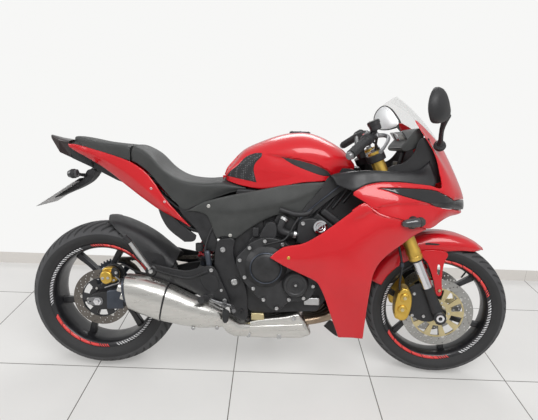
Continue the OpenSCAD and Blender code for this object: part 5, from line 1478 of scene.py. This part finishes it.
slab("rear_infill", flow([(-388, 722), (-334, 742), (-280, 720), (-240, 610), (-222, 550), (-268, 548),
                          (-317, 630)], 10), -128, -122, BLACK, edge=2)
slab("chin_panel", flow([(230, 214, 1), (262, 240), (308, 166, 1), (284, 172)], 8), -72, -66, PLASTIC,
     edge=2)
LOWER_COVER = flow([(217, 872), (330, 880), (312, 856), (262, 812), (190, 752), (112, 684), (84, 680),
                    (120, 742), (170, 806)], 10)
slab("frame_lower_cover", LOWER_COVER, -160, -154, PLASTIC, edge=2)
slab("frame_lower_cover_left", LOWER_COVER, 154, 160, PLASTIC, edge=2)
tube("frame_cover_edge", [(86, -163, 682), (170, -163, 762), (240, -163, 822), (300, -163, 872)], 3, DARK,
     8, 12)


# Front end on the steering axis: x ahead of the stem, y to the left, z up the stem
# Offset of the legs ahead of the stem, and height of the axle along it
OFF = 1000 * FORK_OFF
AXLE_UP = 1000 * AXLE_S
FLAT = AT_STEM @ Matrix.Rotation(math.radians(90), 4, "X")
CLAMP = flow([(-34, -40), (-38, 0), (-34, 40), (0, 62), (OFF - 34, 104), (OFF - 26, 130), (OFF + 8, 139),
              (OFF + 34, 122), (OFF + 36, 92), (58, 46), (50, 0), (58, -46), (OFF + 36, -92),
              (OFF + 34, -122), (OFF + 8, -139), (OFF - 26, -130), (OFF - 34, -104), (0, -62)], 8)
for name, low in (("lower", 830), ("upper", 1018)):
    slab("fork_clamp_" + name, CLAMP, low, low + 30, BLACK, edge=4, place=FLAT, body="steering",
         stands_for=("fork",) if name == "lower" else ())
turned("stem_nut", [(0, 12), (12, 12), (14, 10), (14, 0), (20, 0), (20, -4), (0, -4)], (0, 0, 1051), UPWARD,
       SATIN, 6, **ON_STEM)
for s, name in SIDES:
    y = s * 104
    turned("fork_outer_" + name, [(20.6, 580), (28, 580), (29.5, 583), (29.5, 596), (28, 598), (28, 601),
                                  (29.5, 603), (29.5, 622), (27, 627), (27, 1048), (25, 1050), (25, 1058),
                                  (0, 1058)], (OFF, y, 0), UPWARD, GOLD, 48, **ON_STEM)
    turned("fork_cap_" + name, [(0, 10), (9, 10), (9, 4), (17, 3), (17, 0), (0, 0)], (OFF, y, 1058), UPWARD,
           SATIN, 32, **ON_STEM)
    turned("fork_seal_" + name, [(20.6, 570), (25, 572), (27, 580), (20.6, 580)], (OFF, y, 0), UPWARD,
           PLASTIC, 40, closed=True, **ON_STEM)
    turned("fork_slider_" + name, [(0, AXLE_UP + 60), (20.5, AXLE_UP + 60), (20.5, 590), (0, 590)],
           (OFF, y, 0), UPWARD, CHROME, 40, **ON_STEM, stands_for=("fork_sliders",) if s < 0 else ())
    turned("fork_casting_" + name, [(0, AXLE_UP - 34), (18, AXLE_UP - 34), (23, AXLE_UP - 28),
        (24, AXLE_UP + 60), (22, AXLE_UP + 80), (22.5, AXLE_UP + 118), (24, AXLE_UP + 122),
        (24, AXLE_UP + 134), (20.6, AXLE_UP + 136)], (OFF, y, 0), UPWARD, BLACK, 44, **ON_STEM)
    turned("axle_boss_" + name, [(0, 0), (21, 0), (25, -3), (25, -24), (0, -24)], (OFF, s * 132, AXLE_UP),
           (0, s, 0), BLACK, 40, place=AT_STEM, body="steering")
    turned("front_axle_nut_" + name, [(8, 4), (11, 5), (16, 4), (17, 2), (17, 0), (8, 0)],
           (OFF, s * 132, AXLE_UP), (0, s, 0), CHROME, 32, closed=True, **ON_STEM)
    for k in range(2):
        bolt("axle_pinch_%s_%d" % (name, k), (OFF + 24, s * (96 + 14 * k), AXLE_UP - 20), (1, 0, 0), 4.5,
             ALLOY, **ON_STEM)
turned("front_axle", [(8, -133), (12, -133), (12, 133), (8, 133)], (OFF, 0, AXLE_UP), (0, 1, 0), STEEL, 28,
       closed=True, **ON_STEM)

# Front calipers
FRONT_BODY = [(-166, 106), (-140, 112), (-122, 92), (-116, 48), (-122, 4), (-134, -24), (-160, -30),
              (-180, -10), (-185, 30), (-178, 74)]
BRIDGE = [(-140, 113), (-166, 107), (-184, 40), (-181, -18), (-166, -27), (-160, -8), (-162, 30),
          (-154, 70), (-130, 104)]
BRACKET = [(-138, 92), (-112, 122), (-70, 132), (-46, 100), (-26, 30), (-14, -22), (-50, -36), (-96, -22),
           (-126, -6), (-122, 44)]
for s, name in SIDES:
    slab("front_caliper_" + name, flow(FRONT_BODY, 6), s * 82, s * 120, GOLD, edge=7, **BY_WHEEL,
         stands_for=("front_calipers",) if s < 0 else ())
    slab("front_caliper_inner_" + name, flow(FRONT_BODY, 6), s * 56, s * 66, GOLD, edge=3, **BY_WHEEL)
    slab("front_caliper_bridge_" + name, flow(BRIDGE, 6), s * 60, s * 112, GOLD, edge=4, **BY_WHEEL)
    for k, (x, z) in enumerate(((-148, 74), (-154, 22))):
        turned("front_piston_%s_%d" % (name, k), [(0, 10), (12, 10), (17, 7), (20, 0), (0, 0)],
               (x, s * 118, z), (0, s, 0), GOLD, 32, **BY_WHEEL)
        turned("front_piston_cap_%s_%d" % (name, k), [(0, 2), (7, 2), (8, 0), (0, 0)], (x, s * 128, z),
               (0, s, 0), PALE_GOLD, 24, place=AT_FRONT, body="steering")
    tube("front_caliper_rib_" + name, [(-172, s * 116, 92), (-180, s * 117, 40), (-176, s * 116, -12)], 6,
         GOLD, 10, 8, place=AT_FRONT, body="steering")
    slab("front_caliper_bracket_" + name, flow(BRACKET, 7), s * 88, s * 98, BLACK, edge=2.5, **BY_WHEEL)
    for k, (x, y, z) in enumerate(((-112, 120, 96), (-112, 120, 0), (-66, 98, 100), (-60, 98, -10))):
        bolt("front_bracket_bolt_%s_%d" % (name, k), (x, s * y, z), (0, s, 0), 6.5, ALLOY, **BY_WHEEL)
    tube("front_hose_%s" % name, [(OFF - 118, s * 100, AXLE_UP + 120), (OFF - 100, s * 112, AXLE_UP + 190),
                                  (OFF - 62, s * 118, AXLE_UP + 270), (OFF - 42, s * 112, AXLE_UP + 380),
                                  (OFF - 40, s * 96, AXLE_UP + 470), (OFF - 46, s * 60, AXLE_UP + 530)], 5,
         PLASTIC, 12, 12, **ON_STEM)
    turned("hose_bracket_" + name, [(5, -8), (9, -8), (9, 8), (5, 8)], (OFF - 62, s * 118, AXLE_UP + 270),
           (0.3, 0, 1), DARK, 24, closed=True, **ON_STEM)

# Front mudguard: angle round the axle, crest radius, half width and edge radius
GUARD = [(57.5, 328, 8, 325), (61, 331, 34, 313), (66, 335, 54, 300), (74, 338, 66, 289),
         (82, 340, 70, 278), (92, 341, 72, 268), (104, 342, 73, 262), (118, 340, 73, 262),
         (132, 336, 72, 263), (146, 331, 70, 263), (157, 328, 67, 262)]
rows = []
for angle, crest, half, edge in GUARD:
    a = math.radians(angle)
    # Columns: radius, y, from the right edge to the crest.
    section = [(edge, -half), (edge + 0.55 * (crest - edge), -half), (crest - 5, -half * 0.72),
               (crest, -half * 0.3)]
    section += [(crest * 1.004, 0)] + [(r, -y) for r, y in section[::-1]]
    rows.append([(r * math.cos(a), y, r * math.sin(a)) for r, y in section])
shell_grid("mudguard", rows_surface(rows), np.linspace(0, 10, 61), np.linspace(0, 8, 57), RED, **BY_WHEEL,
           stands_for=("front_mudguard",))
STAY = flow([(-92, 262), (-60, 276), (-20, 276), (14, 266), (4, 225), (2, 150), (8, 104), (6, 84), (-6, 78),
             (-16, 90), (-32, 147), (-60, 215)], 6)
for s, name in SIDES:
    slab("mudguard_stay_" + name, STAY, s * 79.5, s * 83.5, RED, edge=1.5, **BY_WHEEL,
         holes=[flow([(-20, 216), (-12, 214), (-10, 170), (-18, 176)], 5)])
    bolt("mudguard_bolt_" + name, (-3, s * 83.5, 104), (0, s, 0), 6, PALE_GOLD, **BY_WHEEL)
    slab("mudguard_slot_" + name, flow([(-78, 300), (-50, 304), (-20, 302), (-24, 297), (-54, 296)], 4),
         s * 70.5, s * 74, BLACK, edge=0.6, **BY_WHEEL)

# Handlebar, controls and levers
# Height of the upper clamp's top along the stem
UP = 1048.3
for s, name in SIDES:
    tube("bar_" + name, [(-6, 0, UP + 36), (-6, s * 58, UP + 36), (14, s * 175, UP + 70),
                         (24, s * 228, UP + 73), (-57, s * 339, UP + 53)], 11, BLACK, 20, 9,
         stands_for=("handlebar",) if s < 0 else (), **ON_STEM)
    turned("riser_" + name, [(0, 0), (17, 0), (17, 20), (20, 24), (20, 52), (0, 52)], (-6, s * 48, UP),
           UPWARD, BLACK, 32, **ON_STEM)
    a, b = np.array((19, s * 235, UP + 72.2)), np.array((-59, s * 345, UP + 52.7))
    length = np.linalg.norm(b - a)
    ribs = [(16.5 + (0.9 if i % 2 else 0), 8 + i * (length - 26) / 44) for i in range(45)]
    turned("grip_" + name, [(11, 0), (19, 0), (20, 3), (19, 6), *ribs, (17.5, length - 14),
                            (12, length - 12)], a, b - a, PLASTIC, 36, **ON_STEM)
    turned("bar_end_" + name, [(0, length + 6), (10, length + 5), (14, length), (15, length - 6),
                               (13, length - 12), (0, length - 12)], a, b - a, SATIN, 32, **ON_STEM)
    turned("switch_box_" + name, [(11, -44), (20, -42), (23, -36), (23, -6), (20, -1), (11, 0)], a, b - a,
           PLASTIC, 32, **ON_STEM)
    block("switch_body_" + name, (6, s * 196 - 17, UP + 56), (46, s * 196 + 17, UP + 90), PLASTIC, 6,
          **ON_STEM)
    tube("lever_" + name, [(60, s * 206, UP + 74), (92, s * 214, UP + 62), (98, s * 236, UP + 50),
                           (74, s * 286, UP + 34), (46, s * 332, UP + 24)], [9, 8, 6.5, 5.5, 7], SATIN, 14,
         7, **ON_STEM)
    turned("lever_pivot_" + name, [(0, 8), (8, 8), (10, 5), (10, -8), (0, -8)], (64, s * 210, UP + 76),
           UPWARD, SATIN, 24, **ON_STEM)
    tube("lever_bracket_" + name, [(26, s * 214, UP + 73), (44, s * 212, UP + 76), (64, s * 210, UP + 74)],
         [15, 14, 12], BLACK, 18, 8, **ON_STEM)
turned("reservoir", [(0, 0), (18, 0), (21, 3), (22, 22), (24, 23), (24, 34), (21, 36), (0, 36)],
       (70, -222, UP + 92), UPWARD, BLACK, 44, **ON_STEM)
turned("reservoir_lid", [(0, 3), (20, 2), (23, 0), (0, 0)], (70, -222, UP + 128), UPWARD, GREY, 44,
       **ON_STEM)
for k, (x, y) in enumerate(circle(15, 2, math.radians(45))):
    bolt("reservoir_screw_%d" % k, (70 + x, y - 222, UP + 130), UPWARD, 3.5, ALLOY, **ON_STEM)
tube("reservoir_arm", [(34, -214, UP + 76), (56, -220, UP + 84), (68, -222, UP + 94)], [9, 8, 8], BLACK, 14,
     8, **ON_STEM)
turned("kill_switch", [(0, 7), (6, 7), (7, 5), (7, 0), (0, 0)], (26, -196, UP + 90), UPWARD, TAPE_RED, 24,
       **ON_STEM)
tube("brake_hose_top", [(64, -206, UP + 66), (56, -150, UP + 40), (48, -100, UP + 8), (40, -64, UP - 12)],
     5, PLASTIC, 12, 12, **ON_STEM)
tube("clutch_cable_top", [(64, 206, UP + 70), (56, 150, UP + 40), (48, 100, UP + 8), (40, 64, UP - 12)], 4,
     PLASTIC, 10, 12, **ON_STEM)
tube("throttle_cable", [(20, -180, UP + 60), (50, -140, UP + 50), (60, -90, UP + 10), (30, -60, UP - 40)],
     4, PLASTIC, 10, 12, **ON_STEM)
turned("ignition_lock", [(0, 4), (12, 4), (15, 2), (15, -30), (0, -30)], (62, 0, UP + 8), UPWARD, DARK, 32,
       **ON_STEM)


# Cockpit
turned("cluster_post", [(9, 0), (9, 110)], (520, 0, 905), (0.25, 0, 1), BLACK, 20)
CLUSTER = flow([(494, 986), (518, 1020), (546, 1058), (562, 1066), (578, 1056), (582, 1030), (562, 992),
                (528, 974), (502, 974)], 6)
slab("cluster_case", CLUSTER, -104, 104, GREY, edge=12, stands_for=("instruments",))
TILT = UPRIGHT @ Matrix.Translation((518, 0, 1024)) @ Matrix.Rotation(math.radians(-36.5), 4, "Y")
block("cluster_glass", (-3, -90, -36), (2, 90, 34), LENS, 2, TILT)
turned("dial_ring", [(30, 0), (33, 3), (36, 3), (37, 0)], (-3, 24, 0), (-1, 0, 0), ALLOY, 48, closed=True,
       place=TILT)
block("display", (-4.5, -76, -20), (-3, -20, 20), DISC, 1, TILT)
for k in range(9):
    w = math.radians(-120 + 30 * k)
    tube("dial_mark_%d" % k, [(-4, 24 + 25 * math.sin(w), 25 * math.cos(w)),
                              (-4, 24 + 29 * math.sin(w), 29 * math.cos(w))], 0.9, TAPE_WHITE, 6, 10,
         place=TILT)
tube("dial_needle", [(-5, 24, 0), (-5, 12, -20)], [1.6, 0.6], TAPE_RED, 8, 10, place=TILT)
INNER = flow([(440, 896), (508, 930), (540, 968), (562, 1024), (594, 1022), (622, 962), (646, 905),
              (660, 862), (600, 852), (500, 872)], 10)
SHELF = [((232, -200, 838), (212, -180, 868), (204, -158, 868)),
         ((296, -229, 820), (276, -200, 884), (262, -158, 878)),
         ((340, -227, 843), (338, -202, 894), (330, -162, 886)),
         ((395, -218, 854), (410, -197, 895), (410, -164, 888)),
         ((480, -209, 856), (492, -190, 889), (492, -160, 892)),
         ((545, -200, 849), (560, -180, 882), (560, -146, 905)),
         ((612, -184, 843), (622, -166, 873), (604, -128, 940))]
for s, name in ((1, "right"), (-1, "left")):
    slab("inner_panel_" + name, INNER, -s * 122, -s * 128, PLASTIC, edge=2)
    shell_grid("shelf_" + name, rows_surface([[(x, s * y, z) for x, y, z in r] for r in SHELF]),
               np.linspace(0, 6, 37), np.linspace(0, 2, 15), BLACK,
               stands_for=("inner_cowl",) if s > 0 else ())
    tube("air_trunk_" + name, [(440, -s * 124, 842), (540, -s * 130, 820), (640, -s * 110, 800)],
         [30, 32, 26], PLASTIC, 20, 14)

# Mirrors: outlines as distance from the inner end and height
MIRROR = flow([(93, 1192), (58, 1176), (18, 1134), (1, 1108), (8, 1090), (40, 1078), (80, 1072),
               (120, 1076), (148, 1102), (156, 1130), (146, 1160), (122, 1184)], 7)
TURN = math.radians(40)
# How a shell closes behind its glass: share of the outline and depth
SHELL_STEPS = ((0.93, 2.5), (0.95, 0), (1, 1), (1.01, 8), (0.97, 16), (0.9, 24), (0.76, 31), (0.55, 37),
               (0.3, 40), (0.1, 41))


def mirror_ring(s, share, deep):
    """The mirror's outline, drawn in to a share about its middle and moved ahead by a depth."""
    mid = MIRROR.mean(0)
    return [(588 - u * math.sin(TURN) + deep * math.cos(TURN),
             s * (272 + u * math.cos(TURN) + deep * math.sin(TURN)), z)
            for u, z in mid + (MIRROR - mid) * share]


for s, name in SIDES:
    rings_body("mirror_" + name + "_shell", [mirror_ring(s, *v) for v in SHELL_STEPS], PLASTIC, sharp=50,
               stands_for=("mirror_" + name,))
    rings_body("mirror_" + name + "_glass", [mirror_ring(s, *v)
        for v in ((0.93, 2), (0.93, 1), (0.9, 0.4))], GLASS)
    tube("mirror_stalk_" + name, [(636, s * 140, 1002), (622, s * 176, 1022), (602, s * 232, 1056),
                                  (592, s * 276, 1084), (590, s * 300, 1104)], [11, 9, 8.5, 10, 14],
         PLASTIC, 18, 8)
    turned("mirror_boot_" + name, [(0, -8), (22, -8), (24, -2), (22, 6), (13, 12), (11, 22), (0, 24)],
           (634, s * 140, 1000), (-0.25, s * 0.8, 0.5), PLASTIC, 32)
    turned("signal_" + name, [(0, -46), (8, -42), (14, -30), (18, -10), (19.5, 8), (19, 22), (15, 34),
                              (0, 40)], (518, s * 252, 709), (1, s * -0.1, 0.12), SMOKE, 40)
    turned("signal_cap_" + name, [(15, 0), (19.5, 0), (18, 10), (12, 18), (0, 20)], (544, s * 249.4, 712),
           (1, s * -0.1, 0.12), GREY, 40)
    turned("signal_base_" + name, [(0, 0), (25, 0), (22, 6), (0, 6)], (518, s * 246, 709), (0, s, 0),
           PLASTIC, 40)

# Tail
tail_plate = UPRIGHT @ Matrix.Translation((-896, 0, 755)) @ Matrix.Rotation(math.radians(-34), 4, "Y")
FENDER = flow([(-790, 848), (-758, 848), (-776, 808), (-820, 776), (-874, 750), (-930, 726), (-940, 732),
               (-880, 764), (-832, 794), (-806, 818)], 8)
slab("plate_arm", FENDER, -34, 34, PLASTIC, edge=5, stands_for=("number_plate_bracket",))
block("plate_holder", (-100, -60, 0), (102, 60, 4), PLASTIC, 1.5, tail_plate)
block("plate", (-104, -92, -2.4), (84, 92, -0.4), PLATE, 0.8, tail_plate)
for k, y in enumerate((-50, 50)):
    bolt("plate_bolt_%d" % k, (50, y, -2.4), (0, 0, -1), 5, ALLOY, place=tail_plate)
turned("rear_reflector", [(0, 5), (18, 5), (20, 3), (20, 0), (0, 0)], (90, 0, 0), (0, 0, -1), LAMP, 32,
       place=tail_plate)
for s, name in SIDES:
    tube("rear_signal_stalk_" + name, [(-798, s * 30, 826), (-802, s * 80, 832), (-806, s * 104, 838)],
         [8, 6.5, 8], PLASTIC, 14, 8)
    turned("rear_signal_" + name, [(0, -26), (12, -24), (17, -14), (18, 0), (16, 14), (0, 20)],
           (-808, s * 118, 838), (1, 0, 0.1), SMOKE, 32)
    turned("rear_signal_rim_" + name, [(17, -10), (19, -9), (19, 4), (17, 5)], (-808, s * 118, 838),
           (1, 0, 0.1), PLASTIC, 32, closed=True)
    slab("seat_bracket_" + name, flow([(-474, 706, 1), (-440, 700), (-384, 650), (-318, 600, 1),
        (-326, 578), (-366, 572, 1), (-430, 622), (-460, 668)], 8), s * 98, s * 112, PLASTIC, edge=3)
block("battery_box", (-330, -84, 610), (-196, 84, 730), PLASTIC, 8)
block("throttle_bodies", (-90, -118, 634), (70, 118, 730), PLASTIC, 8)
block("air_box", (-160, -112, 720), (180, 112, 800), PLASTIC, 10)


# Floor, skirting and light
TILE = 0.6
WALL_Y = 0.7


def stage_plane(name, corners, mat):
    """A plane of the room, which isn't part of the object."""
    mesh = bpy.data.meshes.new(name)
    mesh.from_pydata(corners, [], [(0, 1, 2, 3)])
    mesh.materials.append(mat)
    ob = bpy.data.objects.new(name, mesh)
    bpy.context.scene.collection.objects.link(ob)


def floor_material(name, tone, joint, width, share):
    """Pale floor tiles with thin joints, lifted a little towards its own colour where the camera sees it."""
    m, nt, b = material(name)
    co = node(nt, "ShaderNodeTexCoord")
    shift = node(nt, "ShaderNodeMapping")
    shift.inputs["Location"].default_value = (0.147, 0.262, 0)
    brick = node(nt, "ShaderNodeTexBrick", offset=0.0, squash=1.0)
    nt.links.new(co.outputs["Object"], shift.inputs["Vector"])
    nt.links.new(shift.outputs["Vector"], brick.inputs["Vector"])
    for key, value in (("Scale", 1.0), ("Mortar Size", width), ("Mortar Smooth", 0.2),
            ("Brick Width", TILE), ("Row Height", TILE)):
        brick.inputs[key].default_value = value
    stain = ramp(nt, noise(nt, 1.7, 5, 0.6), [(0.3, tone), (0.7, tuple(v * 0.95 for v in tone))])
    nt.links.new(stain, brick.inputs["Color1"])
    nt.links.new(stain, brick.inputs["Color2"])
    brick.inputs["Mortar"].default_value = (*joint, 1)
    nt.links.new(brick.outputs["Color"], b.inputs["Base Color"])
    b.inputs["Roughness"].default_value = 0.6
    b.inputs["Specular IOR Level"].default_value = 0.15
    glow = node(nt, "ShaderNodeEmission")
    nt.links.new(brick.outputs["Color"], glow.inputs["Color"])
    path = node(nt, "ShaderNodeLightPath")
    part = node(nt, "ShaderNodeMath", operation="MULTIPLY")
    part.inputs[1].default_value = share
    mix = node(nt, "ShaderNodeMixShader")
    nt.links.new(path.outputs["Is Camera Ray"], part.inputs[0])
    nt.links.new(part.outputs[0], mix.inputs["Fac"])
    nt.links.new(b.outputs["BSDF"], mix.inputs[1])
    nt.links.new(glow.outputs["Emission"], mix.inputs[2])
    nt.links.new(mix.outputs["Shader"], nt.nodes["Material Output"].inputs["Surface"])
    return m


tiles = floor_material("floor", (0.80, 0.79, 0.77), (0.16, 0.15, 0.14), 0.0022, 0.4)
skirting = floor_material("skirting", (0.72, 0.69, 0.65), (0.4, 0.38, 0.35), 0.001, 0.5)
stage_plane("floor", [(-9, -7, 0), (9, -7, 0), (9, WALL_Y, 0), (-9, WALL_Y, 0)], tiles)
stage_plane("skirting", [(-9, WALL_Y, 0), (9, WALL_Y, 0), (9, WALL_Y, 0.075), (-9, WALL_Y, 0.075)],
            skirting)

world = bpy.data.worlds.new("world")
bpy.context.scene.world = world
world.use_nodes = True
wt = world.node_tree
bg = wt.nodes["Background"]
co = node(wt, "ShaderNodeTexCoord")
split = node(wt, "ShaderNodeSeparateXYZ")
wt.links.new(co.outputs["Generated"], split.inputs["Vector"])
room = ramp(wt, split.outputs["Z"], [(0.0, (0.42, 0.42, 0.42)), (0.35, (0.55, 0.55, 0.56)),
    (0.8, (0.9, 0.91, 0.93))])
wt.links.new(room, bg.inputs["Color"])
bg.inputs["Strength"].default_value = 0.55
seen = node(wt, "ShaderNodeBackground")
seen.inputs["Color"].default_value = (0.93, 0.93, 0.92, 1)
seen.inputs["Strength"].default_value = 1.0
path = node(wt, "ShaderNodeLightPath")
through = node(wt, "ShaderNodeMath", operation="MAXIMUM")
wt.links.new(path.outputs["Is Camera Ray"], through.inputs[0])
wt.links.new(path.outputs["Is Transmission Ray"], through.inputs[1])
gloss = node(wt, "ShaderNodeMath", operation="MULTIPLY_ADD")
gloss.inputs[1].default_value = 0.5
wt.links.new(path.outputs["Is Glossy Ray"], gloss.inputs[0])
wt.links.new(through.outputs[0], gloss.inputs[2])
mix = node(wt, "ShaderNodeMixShader")
wt.links.new(gloss.outputs[0], mix.inputs["Fac"])
wt.links.new(bg.outputs["Background"], mix.inputs[1])
wt.links.new(seen.outputs["Background"], mix.inputs[2])
wt.links.new(mix.outputs["Shader"], wt.nodes["World Output"].inputs["Surface"])


def area(name, loc, target, size, power):
    """A rectangular lamp that faces a point."""
    d = bpy.data.lights.new(name, "AREA")
    d.shape = "RECTANGLE"
    d.size, d.size_y = size
    d.energy = power
    o = bpy.data.objects.new(name, d)
    bpy.context.scene.collection.objects.link(o)
    o.location = loc
    o.rotation_euler = (Vector(target) - Vector(loc)).to_track_quat("-Z", "Y").to_euler()


# Columns: name, place, where it points, size, power.
area("key", (0.8, -2.4, 3.4), (0, 0, 0.5), (2.6, 1.6), 90)
area("fill", (-3.2, -1.0, 2.2), (0, 0, 0.5), (1.8, 1.8), 30)
area("back", (0.5, 3.2, 3.0), (0, 0, 0.6), (3.0, 1.5), 60)
